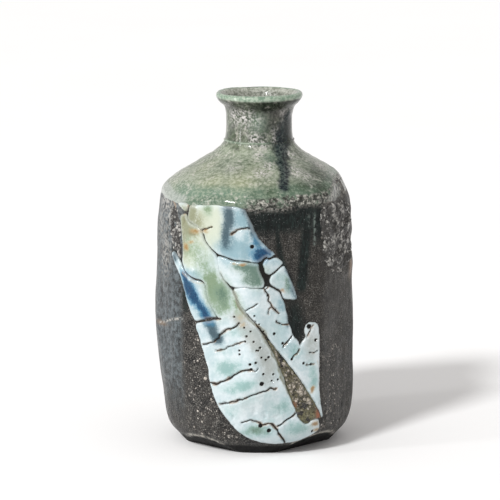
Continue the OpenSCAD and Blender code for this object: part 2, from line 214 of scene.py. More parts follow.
# Stains of the slip: spots as share, azimuth, height, half widths across and along, and tilt, then streaks
# as share, a line of azimuths and heights, and width
STAINS = {
    "cream": ([(1, -27, 97.5, 6.5, 10), (0.8, -40, 85, 4.5, 6), (0.6, -35, 91, 5, 5)],
              []),
    "sky": ([(1, -11.5, 88, 7.5, 5), (0.8, -8.5, 101.5, 3.4, 5), (0.6, -4.5, 94, 2.2, 5),
             (0.9, -38, 76.8, 5.5, 2.2, -10), (0.8, 17, 65, 2.8, 2.8), (0.6, 22, 73, 2.2, 5, 15),
             (0.5, 12, 83, 3.5, 2.0), (0.45, -33, 52, 3.0, 4), (0.4, 18.5, 57, 3.0, 6.0),
             (0.6, 23, 46, 3.6, 4.0)],
            [(0.8, [(-44, 76), (-38, 67), (-29, 58)], 4.4)]),
    "green": ([(1, -22.5, 68.5, 4.6, 6.6), (0.8, -28.5, 104.6, 2.0, 2.6), (0.7, -10, 66, 2.4, 4.4, 25)],
              [(0.6, [(-38, 88), (-31, 81), (-27, 76)], 6.0),
               (1, [(-26.5, 75), (-22.5, 69.5), (-20, 65)], 5.0)]),
    "khaki": ([(1, -41.0, 98, 6.0, 6.8), (0.9, -39, 104.5, 2.6, 2.4), (0.8, -44, 90, 2.8, 6.5),
               (0.5, -34, 100.5, 2.2, 4)],
              []),
    "moss": ([(1, 0, 78, 4.0, 4.4), (0.9, -4.5, 80.8, 5.2, 2.6), (0.55, 1, 11.6, 3.6, 1.6),
              (0.7, -20, 67.5, 3.2, 5.2), (0.6, 20.5, 73.5, 1.8, 3.2, 15)],
             []),
    "celadon": ([(1, -15.5, 39, 5.2, 2.8, 8), (0.85, -9, 31, 7.0, 2.2, 12), (0.75, 15, 21, 4.4, 3.4),
                 (0.85, 1, 11.4, 5.4, 2.2), (0.9, 27, 11.5, 4.6, 2.8), (0.7, 24, 45.5, 2.8, 3.0),
                 (0.65, 35, 33, 1.8, 6.0), (0.5, -14, 20.5, 4.2, 3.0), (0.2, 3, 66, 6.0, 4.5),
                 (0.3, 14, 54, 4.0, 5.0), (0.5, -14, 53.3, 6.0, 1.9, 10), (0.6, 15, 76, 2.6, 3.6),
                 (0.35, 3, 26.5, 8.0, 2.6, 10), (0.4, -17, 45, 4.0, 1.4), (0.35, 10, 16.5, 4, 2)],
                []),
    "grey": ([(0.6, 8, 34, 5.0, 3.0), (0.7, 34.5, 48, 3.2, 7.0), (0.35, -3, 25, 9.0, 7.0)],
             [(0.95, [(-9, 61), (-3, 53.5), (4, 46), (9, 38.5)], 3.9)]),
    "slate": ([(0.75, -16.5, 92, 3.0, 3.0), (0.9, -52.5, 83, 2.4, 2.6)],
              [(1, [(-14.8, 107), (-15.8, 100), (-17, 94)], 3.0),
               (0.9, [(-5, 106), (0, 97), (3.0, 91)], 2.1), (1, [(21.8, 80), (25.0, 73), (26.4, 67)], 2.2),
               (1, [(-29.5, 60), (-26.8, 56), (-23.0, 51)], 3.1), (0.8, [(19.8, 63), (20.8, 57)], 1.3)]),
    "cobalt": ([(1, 5.0, 87.0, 4.0, 3.0, 25), (0.5, 1.8, 91.5, 1.8, 3.6)],
               [(1, [(-43.0, 75.5), (-38.6, 69.6), (-34.6, 65), (-30.6, 61.6), (-27.8, 58.0)], 2.5)]),
    "ochre": ([(0.9, -43.0, 88.0, 1.3, 1.2), (0.6, -39, 90.4, 1.8, 0.7, 20), (0.9, -7.8, 82.7, 1.3, 0.7),
               (0.45, -12.4, 82.6, 1.0, 0.8), (0.9, -41.5, 105, 0.7, 1.3), (1, -52, 104.8, 1.4, 1.0),
               (0.75, -35.5, 95.7, 2.4, 0.9), (0.6, -30.6, 95.8, 1.2, 0.8), (1, 17.4, 70.6, 0.9, 0.7),
               (1, 34.8, 28.0, 0.7, 1.4), (1, 37, 13.2, 1.8, 1.4), (0.8, 39.5, 10, 1.6, 0.8),
               (0.3, -7.5, 60.2, 2.0, 1.8), (0.45, -6, 57.5, 1.2, 1.0)],
              [(0.35, [(-45, 76), (-40, 74.3), (-31.5, 73.4)], 0.55),
               (0.8, [(-53, 105.5), (-49, 103.4), (-44.6, 101.6)], 0.6),
               (0.4, [(38.8, 40), (38.8, 28)], 0.35)]),
    "olive": ([(0.7, -37, 95.2, 2.8, 1.6)],
              [(1, [(-13, 71), (-5.5, 62.3), (0, 57.8), (7, 50.3), (9.5, 47), (12.5, 42.5)], 0.8),
               (0.9, [(12.5, 42.5), (16.5, 36), (19, 30.5), (22, 24.5), (25.5, 19.5)], 0.9),
               (0.4, [(-20.8, 79), (-17.5, 74), (-13, 71)], 0.7),
               (0.6, [(-45, 101), (-44.5, 93), (-45, 86)], 1.0)]),
}


# ---------------------------------------------------------------- numbers

def spline(points, count):
    """Evenly spaced points on a smooth line through the given ones. The direction at each is the mean of
    its two chords' directions, each weighted by the other's length; a cubic with those directions joins
    each pair."""
    p = np.asarray(points, float)
    p = np.vstack([2 * p[0] - p[1], p, 2 * p[-1] - p[-2]])
    chord = np.diff(p, axis=0)
    size = np.linalg.norm(chord, axis=1)[:, None]
    unit = chord / size
    slope = (unit[:-1] * size[1:] + unit[1:] * size[:-1]) / (size[1:] + size[:-1])
    t = np.linspace(0, 1, 24, endpoint=False)[None, :, None]
    start, end, leave, arrive, h = p[1:-2, None], p[2:-1, None], slope[:-1, None], slope[1:, None], size[1:-1,
                                                                                                         None]
    fine = ((1 + 2 * t) * (1 - t) ** 2 * start + t ** 2 * (3 - 2 * t) * end
            + h * (t * (1 - t) ** 2 * leave + t ** 2 * (t - 1) * arrive))
    fine = np.vstack([fine.reshape(-1, p.shape[1]), p[-2]])
    length = np.concatenate([[0], np.cumsum(np.linalg.norm(np.diff(fine, axis=0), axis=1))])
    at = np.linspace(0, length[-1], count)
    return np.stack([np.interp(at, length, fine[:, k]) for k in range(fine.shape[1])], -1)


def read_off(points, at, soft=1.2):
    """Second value of a broken line where its first value is at, averaged over a short stretch to either
    side, which rounds its corners. Past its ends the line runs straight on."""
    line = np.asarray(points, float)
    line = np.vstack([2 * line[0] - line[1], line, 2 * line[-1] - line[-2]])
    return sum(np.interp(at + soft * k, line[:, 0], line[:, 1]) for k in (-1, -0.5, 0, 0.5, 1)) / 5


def cell_value(i, j, k, seed):
    """Value from 0 to 1 for each whole-number cell: what is left of a large multiple of a sine."""
    n = np.sin(i * 12.9898 + j * 78.233 + k * 37.719 + seed * 4.137) * 43758.5453
    return n - np.floor(n)


def lumps(p, scale, seed):
    """Smooth noise from -1 to 1 at points p: the eight cell values round each point, blended with an
    S-curve."""
    q = np.asarray(p, float) / scale
    cell = np.floor(q)
    f = q - cell
    f = f * f * (3 - 2 * f)
    total = np.zeros(q.shape[:-1])
    for dx in (0, 1):
        for dy in (0, 1):
            for dz in (0, 1):
                weight = (np.abs(1 - dx - f[..., 0]) * np.abs(1 - dy - f[..., 1]) * np.abs(1 - dz - f[...,
                                                                                                      2]))
                total += weight * cell_value(cell[..., 0] + dx, cell[..., 1] + dy, cell[..., 2] + dz, seed)
    return 2 * total - 1


def rough(p, scale, seed, octaves=3):
    """Sum of noises, each half as large and half as strong as the one before."""
    total, strength = 0, 0
    for k in range(octaves):
        total = total + lumps(p, scale / 2 ** k, seed + 7 * k) / 2 ** k
        strength += 0.5 ** k
    return total / strength


def ease(low, high, x):
    """S-curve from 0 at low to 1 at high."""
    t = np.clip((x - low) / (high - low), 0, 1)
    return t * t * (3 - 2 * t)


def flat(points):
    """Azimuth and height as width and height on the unrolled wall, in millimetres."""
    p = np.asarray(points, float)
    return np.stack([np.radians(p[..., 0]) * MAP_R, p[..., 1]], -1)


def lifted(where):
    """Unrolled points with a third coordinate of nought, for the noises."""
    return np.concatenate([where, np.zeros_like(where[..., :1])], -1)


def to_line(where, line, closed=False):
    """Distance from each unrolled point to a chain of straight segments: the nearest point of each segment is
    its start plus a share of it, cut off at its ends."""
    line = np.asarray(line, float)
    ends = np.roll(line, -1, axis=0) if closed else line[1:]
    best = np.full(where.shape[:-1], 1e9)
    for a, b in zip(line, ends):
        step = b - a
        share = np.clip(((where - a) @ step) / max(step @ step, 1e-9), 0, 1)
        best = np.minimum(best, np.linalg.norm(where - a - share[..., None] * step, axis=-1))
    return best


def within(where, loop):
    """True where an unrolled point lies inside a loop: a ray to its right crosses the loop an odd number of
    times."""
    inside = np.zeros(where.shape[:-1], bool)
    u, v = where[..., 0], where[..., 1]
    for a, b in zip(loop, np.roll(loop, -1, axis=0)):
        crosses = (a[1] > v) != (b[1] > v)
        slope = (b[0] - a[0]) / ((b[1] - a[1]) or 1e-9)
        inside ^= crosses & (u < a[0] + slope * (v - a[1]))
    return inside


def depth_in(where, loop):
    """Distance to a loop, positive inside it and negative outside."""
    return np.where(within(where, loop), 1, -1) * to_line(where, loop, closed=True)


def blot(where, azimuth, height, across, along, tilt=0.0):
    """Soft elliptical stain: the bell curve of the distance from its middle, in its own half widths."""
    d = where - flat((azimuth, height))
    c, s = np.cos(np.radians(tilt)), np.sin(np.radians(tilt))
    x, y = d[..., 0] * c + d[..., 1] * s, d[..., 1] * c - d[..., 0] * s
    return np.exp(-0.55 * ((x / across) ** 2 + (y / along) ** 2) ** 1.15)


def streak(where, points, width):
    """Soft stain along a line of azimuths and heights: the bell curve of the distance from it."""
    return np.exp(-(to_line(where, flat(points)) / width) ** 2)


def strongest(*masks):
    """Largest of several masks."""
    return np.max(np.stack(np.broadcast_arrays(*masks)), axis=0)


# ---------------------------------------------------------------- form

def soft_least(radii):
    """Smallest of several radii, the corner where two meet rounded by a logarithm of summed exponentials."""
    radii = np.stack(np.broadcast_arrays(*radii))
    least = radii.min(axis=0)
    return least - FACET_ROUND * np.log(np.exp(-(radii - least) / FACET_ROUND).sum(axis=0))


def knife_cuts(azimuth, z, cuts):
    """Radius of each knife cut: its distance over the cosine of the angle off its facing."""
    for facing, away, at, lean in cuts:
        share = np.cos(np.radians(azimuth - facing))
        away = away + np.tan(np.radians(lean)) * (z - at)
        yield np.where(share > 0.3, away / np.maximum(share, 0.3), 200.0)


def body_radius(azimuth, z):
    """Radius before the foot is bevelled: the smallest of the thrown outline, the belly turned about its own
    axis, and the knife cuts; the shoulder rounds in at the sides."""
    a = np.radians(azimuth)
    belly = read_off(BELLY, z)
    turned = [read_off(THROWN, z) + 0 * a,
              FOOT_X * np.sin(a) + np.sqrt(np.maximum(belly ** 2 - (FOOT_X * np.cos(a)) ** 2, 0))]
    eased_in = 0.07 * np.maximum(z - 100, 0) ** 1.6 * ease(46, 76, np.abs(azimuth))
    return soft_least(turned + list(knife_cuts(azimuth, z, PARED))) - eased_in


def pared_radius(azimuth, z):
    """Outside radius of the wall from its turning axis, with the foot bevelled."""
    return soft_least([body_radius(azimuth, z), *knife_cuts(azimuth, z, BEVELS)])


def place(azimuth, radius, z, x=0.0):
    """Points round an axis x to the side of the middle: sine and cosine of the azimuth times the radius."""
    a = np.radians(azimuth)
    return np.stack(np.broadcast_arrays(x + radius * np.sin(a), TURN_Y - radius * np.cos(a), z), -1)


def wall_relief(azimuth, z):
    """Unevenness of the pared clay: broad swellings, lumpier high on the sides, upright knife chatter and
    coarse grains, rougher low down, throwing rings on the low facet and a scratch above them."""
    azimuth, z = np.broadcast_arrays(azimuth, z)
    p = place(azimuth, MAP_R, z)
    where = flat(np.stack([azimuth, z], -1))
    low = ease(48, 10, z)
    broad = 0.34 * lumps(p, 17, 1) + 0.20 * lumps(p, 7, 2) - 0.15
    chatter = 0.09 * lumps(p * (1, 1, 0.12), 1.7, 3)
    grain = 0.10 * np.maximum(lumps(p, 1.5, 5), 0) ** 2 - 0.22 * ease(0.45, 0.8, lumps(p, 2.2, 6)) * low
    rings = 0.10 * np.sin(2 * np.pi * z / 2.6 + 0.04 * azimuth) * streak(where, [(-74, 50), (-72, 34)], 7)
    scratch = -0.30 * streak(where, SCRATCH, 0.5)
    sides = 0.9 * lumps(p, 5, 8) * blot(where, 78, 90, 15, 14) + 0.6 * blot(where, 82, 77, 4, 4)
    sides += 0.45 * blot(where, -84, 90, 12, 7) - 0.8 * blot(where, -80, 101, 12, 4)
    broad = broad + sides
    return (broad + (chatter + grain) * (0.6 + 0.8 * low) + rings + scratch) * ease(0, 6, z)


def wall_point(azimuth, z, stand_off=0.0):
    """Points on the finished clay wall, or a distance off it."""
    return place(azimuth, pared_radius(azimuth, z) + wall_relief(azimuth, z) + stand_off, z)


def dome_height(x, y):
    """Height of the glazed shoulder above a point: the dome's height at its distance from the neck's axis."""
    return read_off(DOME, np.hypot(x - NECK_X, y - TURN_Y), 0.6)


def rim_radius(azimuth):
    """Radius where the dome meets the pared wall, found by halving an interval."""
    low, high = np.full_like(azimuth, 30.0), np.full_like(azimuth, 46.0)
    for _ in range(30):
        mid = (low + high) / 2
        p = place(azimuth, mid, 0 * mid)
        outside = mid > pared_radius(azimuth, dome_height(p[..., 0], p[..., 1]))
        low, high = np.where(outside, low, mid), np.where(outside, mid, high)
    return low


def dome_rows(azimuth, count):
    """Rows from the shoulder's rim up to the collar. Each is a loop whose middle slides from the turning
    axis to the neck's axis while its radius shrinks from the rim's to the collar's; the wall's unevenness
    fades out."""
    w = np.linspace(0, 1, count)[:, None]
    radius = (1 - w) * rim_radius(azimuth) + w * NECK_LINE[0][0]
    p = place(azimuth, radius, 0 * radius, NECK_X * w)
    height = dome_height(p[..., 0], p[..., 1])
    uneven = wall_relief(azimuth, height[:1]) * (1 - w) ** 8
    p = place(azimuth, radius + uneven, 0 * radius, NECK_X * w)
    p[..., 2] = height
    return p


def outward(rows):
    """Unit normals of a grid whose columns run round and whose rows run up: the cross product of the steps
    along a row and along a column."""
    along = np.roll(rows, -1, axis=1) - np.roll(rows, 1, axis=1)
    up = np.gradient(rows, axis=0)
    n = np.cross(along, up)
    return n / np.maximum(np.linalg.norm(n, axis=-1, keepdims=True), 1e-9)


def eased_rows(rows, passes):
    """Rows moved towards the mean of their neighbours a number of times, which rounds an arris."""
    for _ in range(passes):
        rows = np.concatenate([rows[:1], 0.25 * rows[:-2] + 0.5 * rows[1:-1] + 0.25 * rows[2:], rows[-1:]])
    return rows


# ---------------------------------------------------------------- meshes

def solid(name, points, faces, marks=None):
    """Mesh object of quads and triangles from millimetre points, smooth but for sharp edges, with one value
    per point for each named mark."""
    mesh = bpy.data.meshes.new(name)
    mesh.vertices.add(len(points))
    mesh.vertices.foreach_set("co", (points * MM).astype(np.float32).ravel())
    corners = np.concatenate([f.ravel() for f in faces])
    sizes = np.concatenate([np.full(len(f), f.shape[1]) for f in faces])
    mesh.loops.add(len(corners))
    mesh.loops.foreach_set("vertex_index", corners.astype(np.int32))
    mesh.polygons.add(len(sizes))
    starts = np.concatenate([[0], np.cumsum(sizes)[:-1]])
    mesh.polygons.foreach_set("loop_start", starts.astype(np.int32))
    mesh.update(calc_edges=True)
    mesh.validate()
    mesh.polygons.foreach_set("use_smooth", np.ones(len(mesh.polygons), bool))
    mesh.set_sharp_from_angle(angle=np.radians(50))
    for mark, values in (marks or {}).items():
        layer = mesh.attributes.new(mark, "FLOAT", "POINT")
        layer.data.foreach_set("value", np.asarray(values, np.float32).ravel())
    piece = bpy.data.objects.new(name, mesh)
    bpy.context.collection.objects.link(piece)
    return piece


def grid_quads(rows, columns, ring, loop):
    """Quads of a grid of points, joined round its columns when ring and round its rows when loop."""
    index = np.arange(rows * columns).reshape(rows, columns)
    if ring:
        index = np.concatenate([index, index[:, :1]], axis=1)
    if loop:
        index = np.concatenate([index, index[:1]], axis=0)
    return np.stack([index[:-1, :-1], index[:-1, 1:], index[1:, 1:], index[1:, :-1]], -1).reshape(-1, 4)


def turned_solid(name, rows, marks=None, poles=False):
    """Closed turned piece. Its rows run up the outside, in over the top and down the inside; they join into a
    loop, or end in a point at each end when poles."""
    count, columns = rows.shape[:2]
    points = rows.reshape(-1, 3)
    faces = [grid_quads(count, columns, True, not poles)]
    marks = {mark: values.ravel() for mark, values in (marks or {}).items()}
    if poles:
        ends = np.stack([rows[0].mean(axis=0), rows[-1].mean(axis=0)])
        index = np.arange(columns)
        after = np.roll(index, -1)
        first, last = len(points), len(points) + 1
        top = (count - 1) * columns
        faces.append(np.stack([np.full(columns, first), after, index], -1))
        faces.append(np.stack([np.full(columns, last), index + top, after + top], -1))
        points = np.vstack([points, ends])
        marks = {mark: np.concatenate([values, [values[0], values[-1]]]) for mark, values in marks.items()}
    return solid(name, points, faces, marks)


def softened(loop, rounds=2):
    """Outline with its corners cut: each round puts two points on every side, a quarter from either end."""
    for _ in range(rounds):
        after = np.roll(loop, -1, axis=0)
        loop = np.stack([0.75 * loop + 0.25 * after, 0.25 * loop + 0.75 * after], axis=1).reshape(-1, 2)
    return loop


def coat_solid(name, outline, pitch, spread_out, wobble, seed, top, marks_of):
    """Closed coat on the wall inside an outline. A square grid covers the outline; cells wholly inside it
    are kept, and the points along their border slide along the slope of the distance field onto the
    outline. The outline is rough and swells along healed and narrow seams. The top stands off the clay by
    top(where, depth), and the back lies just under the clay's surface."""
    loop = softened(flat(outline))
    low, high = loop.min(axis=0) - 1, loop.max(axis=0) + 1
    u, v = np.arange(low[0], high[0], pitch), np.arange(low[1], high[1], pitch)
    where = np.stack(np.meshgrid(u, v), -1)
    spread = lifted(where)
    depth = depth_in(where, loop) + spread_out + wobble * rough(spread, 2.6, seed)
    depth += HEALED_SWELL * strongest(*(streak(where, line, SWELL_WIDTH) for line in HEALED))
    narrow = (TONGUE_MIDDLE, BLADE_TOP[:5])
    depth += NEAR_SWELL * strongest(*(streak(where, line, SWELL_WIDTH) for line in narrow))
    kept = depth > 0
    cells = kept[:-1, :-1] & kept[:-1, 1:] & kept[1:, 1:] & kept[1:, :-1]
    index = np.arange(where.shape[0] * where.shape[1]).reshape(where.shape[:2])
    quads = np.stack([index[:-1, :-1], index[:-1, 1:], index[1:, 1:], index[1:, :-1]], -1)[cells]
    used, quads = np.unique(quads, return_inverse=True)
    quads = quads.reshape(-1, 4)
    sides = np.stack([quads, np.roll(quads, -1, axis=1)], -1).reshape(-1, 2)
    count = len(used)
    forward, backward = sides @ (count, 1), sides @ (1, count)
    border = sides[~np.isin(forward, backward)]
    slope = np.stack(np.gradient(depth, pitch)[::-1], -1).reshape(-1, 2)[used]
    steep = np.maximum(np.linalg.norm(slope, axis=-1, keepdims=True), 0.4)
    where, depth = where.reshape(-1, 2)[used], depth.ravel()[used]
    rim = np.unique(border)
    slide = np.clip(depth[rim, None], 0, 1.5 * pitch) * slope[rim] / steep[rim] ** 2
    where[rim] -= slide
    depth[rim] = 0
    azimuth, z = np.degrees(where[:, 0] / MAP_R), where[:, 1]
    face = wall_point(azimuth, z, top(where, depth))
    back = wall_point(azimuth, z, -COAT_BITE)
    walls = np.stack([border[:, 1], border[:, 0], border[:, 0] + count, border[:, 1] + count], -1)
    faces = [quads, quads[:, ::-1] + count, walls]
    marks = {mark: np.concatenate([values, values]) for mark, values in marks_of(where, depth).items()}
    return solid(name, np.vstack([face, back]), faces, marks)


def finish_piece(piece, slot, material, *nodes):
    """Puts the material on a piece, has it ride on the bottle and hides the CAD nodes that it stands for."""
    piece.data.materials.append(material)
    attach(piece, "root")
    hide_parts(*nodes)


# ---------------------------------------------------------------- marks on the surfaces

def slip_cracks(where):
    """Distance to the nearest crack past its half width, and to the nearest pinhole past its radius."""
    spread = lifted(where)
    bend = 0.35 * np.stack([lumps(spread, 1.6, 41), lumps(spread, 1.6, 42)], -1)
    crack = np.full(where.shape[:-1], 9.0)
    for width, line in CRACKS:
        crack = np.minimum(crack, to_line(where + bend, flat(line)) - width)
    hole = np.full(where.shape[:-1], 9.0)
    for azimuth, z, radius in PINHOLES:
        hole = np.minimum(hole, np.linalg.norm(where - flat((azimuth, z)), axis=-1) - radius)
    return crack, hole


def slip_height(thickness):
    """Thickness of an island: rises from its edge like a quarter circle, with a bead inside the edge, soft
    swellings, grooves at the cracks and pits at the pinholes."""
    def top(where, depth):
        spread = lifted(where)
        rise = np.sqrt(1 - (1 - np.clip(depth / 1.1, 0, 1)) ** 2)
        swell = 0.16 * rough(spread, 9, 51) + 0.03 * lumps(spread, 1.5, 52)
        crack, hole = slip_cracks(where)
        bead = 0.03 * np.exp(-((depth - 1.4) / 0.9) ** 2) + 0.07 * np.exp(-((crack - 0.7) / 0.5) ** 2)
        bead += 0.12 * np.exp(-((hole - 0.35) / 0.3) ** 2)
        height = (thickness + swell + bead) * rise - 0.05
        groove = np.maximum(np.exp(-np.maximum(crack, 0) ** 2 / 0.05),
                            np.exp(-np.maximum(hole, 0) ** 2 / 0.02))
        return height * (1 - 0.85 * groove) - 0.02 * groove
    return top


def slip_marks(where, depth):
    """Where each stain lies on the slip, and how far each point is from edge, crack and pinhole."""
    crack, hole = slip_cracks(where)
    spread = lifted(where)
    where = where + 1.0 * np.stack([lumps(spread, 5, 43), lumps(spread, 5, 44)], -1)
    where = where + 0.4 * np.stack([lumps(spread, 1.7, 45), lumps(spread, 1.7, 46)], -1)
    marks = {"edge": depth, "crack": crack, "hole": hole}
    for mark, (spots, streaks) in STAINS.items():
        marks[mark] = strongest(*(share * blot(where, *spot) for share, *spot in spots),
                                *(share * streak(where, *line) for share, *line in streaks))
    return marks


def wall_marks(azimuth, z):
    """Where each finish lies on the clay wall. The marks on the back repeat what the sides show."""
    azimuth, z = np.broadcast_arrays(azimuth, z)
    where = flat(np.stack([azimuth, z], -1))
    p = place(azimuth, MAP_R, z)
    back = ease(95, 120, np.abs(azimuth))
    cloud = 0.5 + 0.5 * rough(p, 24, 61)
    bevel = body_radius(azimuth, z) - soft_least(list(knife_cuts(azimuth, z, BEVELS)))
    low = ease(14, 9, z)
    return {
        # Painted reflection: a lighter bluish tone on the left facets stands for the lights mirrored in them;
        # on the back the same tone lies in random patches.
        "painted_sheen": strongest(ease(-43, -50, azimuth) * (1 - back) * ease(10, 40, z), 0.8 * back * ease(0.45,
                                                                                                     0.7,
                                                                                                     cloud)),
        "brown": strongest(ease(6, 16, azimuth) * (1 - back) * ease(40, 60, z) * ease(101, 94, z),
                           0.8 * back * ease(0.6, 0.3, cloud)),
        "ink": strongest(blot(where, 14, 102, 20, 5.6), 0.9 * streak(where, [(33, 100), (31, 88), (29, 72)],
                                                                     2.6),
                         0.8 * blot(where, 40, 99, 4, 8), 0.7 * streak(where, [(13, 97), (16, 84), (22, 74)],
                                                                       1.6),
                         0.75 * blot(where, 24.5, 57, 4.0, 9, 8), 0.9 * streak(where, [(-56, 85), (-50, 83),
                                                                                       (-45, 77)], 1.8),
                         0.7 * streak(where, [(-43, 62), (-44, 68)], 2.0), 0.7 * streak(where,
                                                                                        [(4, 84), (6, 76)],
                                                                                        3),
                         0.6 * back * ease(0.4, 0.6, 0.5 + 0.5 * lumps(p, 15, 62))),
        "band": ease(104.0, 107.0, z + 1.2 * ease(35, 5, azimuth) * (1 - back) + 0.8 * lumps(p, 4, 63))
        * strongest(ease(-9, -2, azimuth) * (1 - back), 0.7 * back),
        "specks": strongest(blot(where, -31, 26, 7, 24), 0.7 * blot(where, -28, 9, 12, 5),
                            0.9 * blot(where, 54, 28, 9, 17), blot(where, 50, 10, 8, 5),
                            0.9 * blot(where, 60, 88, 9, 12), back * ease(60, 12, z) * ease(0.3, 0.7, cloud)),
        "seam": strongest(*(streak(where, line, 1.1) for line in (SEAM_MAIN, SEAM_BLADE, BLADE_TOP,
                                                                  TONGUE_MIDDLE)),
                          blot(where, 5.5, 79, 2.6, 5.5)),
        "run": strongest(streak(where, [(37.4, 102), (37.6, 96), (37.5, 89.5)], 0.55),
                         0.5 * streak(where, [(33.5, 102), (33.6, 97)], 0.6),
                         0.7 * streak(where, [(132, 108), (133, 92), (132.5, 80)], 0.9),
                         0.7 * streak(where, [(-150, 108), (-151, 88)], 1.1)),
        "tan": strongest(0.9 * blot(where, 79, 77, 2.0, 4.0), 0.5 * blot(where, -72, 52, 5.0, 0.8, 4),
                         0.9 * streak(where, [(-57.5, 106), (-54.5, 104), (-55.5, 102)], 0.6)),
        "pale": strongest(streak(where, SCRATCH, 0.45), 0.7 * blot(where, -60, 99, 4.5, 4.5),
                          0.6 * blot(where, -66, 84, 4, 9),
                          0.5 * blot(where, -74, 96, 3, 9), 0.8 * blot(where, -68, 103.5, 8, 3.4)),
        # Near-black on the bevel and the lowest few millimetres: dark unglazed clay, with painted shade where
        # the foot faces down.
        "foot": strongest(ease(0.25, 0.9, bevel) * low, ease(4.6, 3.2, z)),
        "fold": strongest(streak(where, [(-58, 104), (-63, 96), (-64, 88), (-60, 80)], 1.0),
                          0.8 * streak(where, [(31, 50), (33, 30), (34, 12)], 0.9)),
        # Pale line along the arris of the foot bevel: a painted highlight.
        "arris_highlight": np.exp(-((bevel - 0.1) / 0.45) ** 2) * low,
    }


# ---------------------------------------------------------------- finishes

def shade(red, green, blue):
    """Linear colour of a display colour given from 0 to 255."""
    c = np.array([red, green, blue]) / 255
    c = np.where(c <= 0.04045, c / 12.92, ((c + 0.055) / 1.055) ** 2.4)
    return (float(c[0]), float(c[1]), float(c[2]), 1.0)


class Wiring:
    """Adds nodes to one tree. Each method takes numbers, colours or sockets and gives the socket it makes."""

    def __init__(self, tree):
        self.tree = tree

    def add(self, kind, inputs=None, **settings):
        node = self.tree.nodes.new("ShaderNode" + kind)
        for key, value in settings.items():
            setattr(node, key, value)
        for key, value in (inputs or {}).items():
            if isinstance(value, bpy.types.NodeSocket):
                self.tree.links.new(value, node.inputs[key])
            elif value is not None:
                node.inputs[key].default_value = value
        return node

    def math(self, operation, a, b=None, clamp=False):
        return self.add("Math", {0: a, 1: b}, operation=operation, use_clamp=clamp).outputs[0]

    def times(self, a, b):
        return self.math("MULTIPLY", a, b)

    def most(self, a, b):
        return self.math("MAXIMUM", a, b)

    def step(self, value, low, high, out_low=0.0, out_high=1.0):
        inputs = {"Value": value, "From Min": low, "From Max": high, "To Min": out_low, "To Max": out_high}
        return self.add("MapRange", inputs, interpolation_type="SMOOTHSTEP").outputs[0]

    def mix(self, share, a, b, mode="MIX"):
        node = self.add("Mix", data_type="RGBA", blend_type=mode, clamp_factor=True)
        for key, value in ((0, share), (6, a), (7, b)):
            if isinstance(value, bpy.types.NodeSocket):
                self.tree.links.new(value, node.inputs[key])
            else:
                node.inputs[key].default_value = value
        return node.outputs[2]

    def noise(self, vector, scale, detail=3.0, roughness=0.55):
        inputs = {"Vector": vector, "Scale": scale, "Detail": detail, "Roughness": roughness}
        return self.add("TexNoise", inputs).outputs["Fac"]

    def mark(self, name):
        return self.add("Attribute", attribute_name=name).outputs["Fac"]

    def place(self):
        return self.add("TexCoord").outputs["Object"]

    def group(self, name, output=0, **inputs):
        node = self.add("Group", node_tree=bpy.data.node_groups[name])
        for key, value in inputs.items():
            key = key.replace("_", " ").title()
            if isinstance(value, bpy.types.NodeSocket):
                self.tree.links.new(value, node.inputs[key])
            else:
                node.inputs[key].default_value = value
        return node.outputs[output]


def new_group(name, inputs, outputs):
    """Empty shader group with named sockets; gives its wiring, its inputs and a way to set its outputs."""
    tree = bpy.data.node_groups.new(name, "ShaderNodeTree")
    for socket, kind, default in inputs:
        made = tree.interface.new_socket(socket, in_out="INPUT", socket_type=kind)
        if default is not None:
            made.default_value = default
    for socket, kind in outputs:
        tree.interface.new_socket(socket, in_out="OUTPUT", socket_type=kind)
    wires = Wiring(tree)
    start, end = tree.nodes.new("NodeGroupInput"), tree.nodes.new("NodeGroupOutput")

    def give(**values):
        for key, value in values.items():
            tree.links.new(value, end.inputs[key])
    return wires, start.outputs, give


NUMBER, VECTOR = "NodeSocketFloat", "NodeSocketVector"


def make_mottle_group():
    """Cloudy mask of two sizes of noise, broken up by a finer one."""
    w, given, give = new_group("Mottle", [("Place", VECTOR, None), ("Scale", NUMBER, 300.0), ("Low", NUMBER,
                                                                                              0.4),
                                          ("High", NUMBER, 0.6)], [("Mask", NUMBER)])
    coarse = w.noise(given["Place"], given["Scale"], 4.0, 0.6)
    fine = w.noise(given["Place"], w.times(given["Scale"], 4.3), 3.0, 0.65)
    both = w.math("ADD", w.times(coarse, 0.7), w.times(fine, 0.3))
    give(Mask=w.step(both, given["Low"], given["High"]))


def make_streak_group():
    """Mask of upright streaks: noise drawn out along the height."""
    w, given, give = new_group("Upright Streaks", [("Place", VECTOR, None), ("Scale", NUMBER, 900.0),
                                                   ("Stretch", NUMBER, 9.0)], [("Mask", NUMBER)])
    squeeze = w.math("DIVIDE", 1.0, given["Stretch"])
    narrow = w.add("CombineXYZ", {0: 1.0, 1: 1.0, 2: squeeze}).outputs[0]
    drawn = w.add("VectorMath", {0: given["Place"], 1: narrow}, operation="MULTIPLY").outputs[0]
    give(Mask=w.step(w.noise(drawn, given["Scale"], 4.0, 0.62), 0.34, 0.66))


def make_speck_group():
    """Scattered grains: the middle of some cells, each with its own size."""
    w, given, give = new_group("Grains", [("Place", VECTOR, None), ("Scale", NUMBER, 700.0), ("Size", NUMBER,
                                                                                              0.3),
                                          ("Share", NUMBER, 0.5)], [("Mask", NUMBER)])
    shaken = w.add("VectorMath", {0: given["Place"], 1: w.add("VectorMath", {
        0: w.add("TexNoise", {"Vector": given["Place"], "Scale": given["Scale"],
                              "Detail": 1.0}).outputs["Color"],
        "Scale": 0.0012}, operation="SCALE").outputs[0]}, operation="ADD").outputs[0]
    cells = w.add("TexVoronoi", {"Vector": shaken, "Scale": given["Scale"]})
    own = w.add("SeparateColor", {0: cells.outputs["Color"]})
    radius = w.times(given["Size"], w.step(own.outputs[1], 0.0, 1.0, 0.4, 1.0))
    dot = w.math("SUBTRACT", 1.0, w.math("DIVIDE", cells.outputs["Distance"], radius), clamp=True)
    chosen = w.math("LESS_THAN", own.outputs[0], given["Share"])
    give(Mask=w.times(w.step(dot, 0.0, 0.5), chosen))


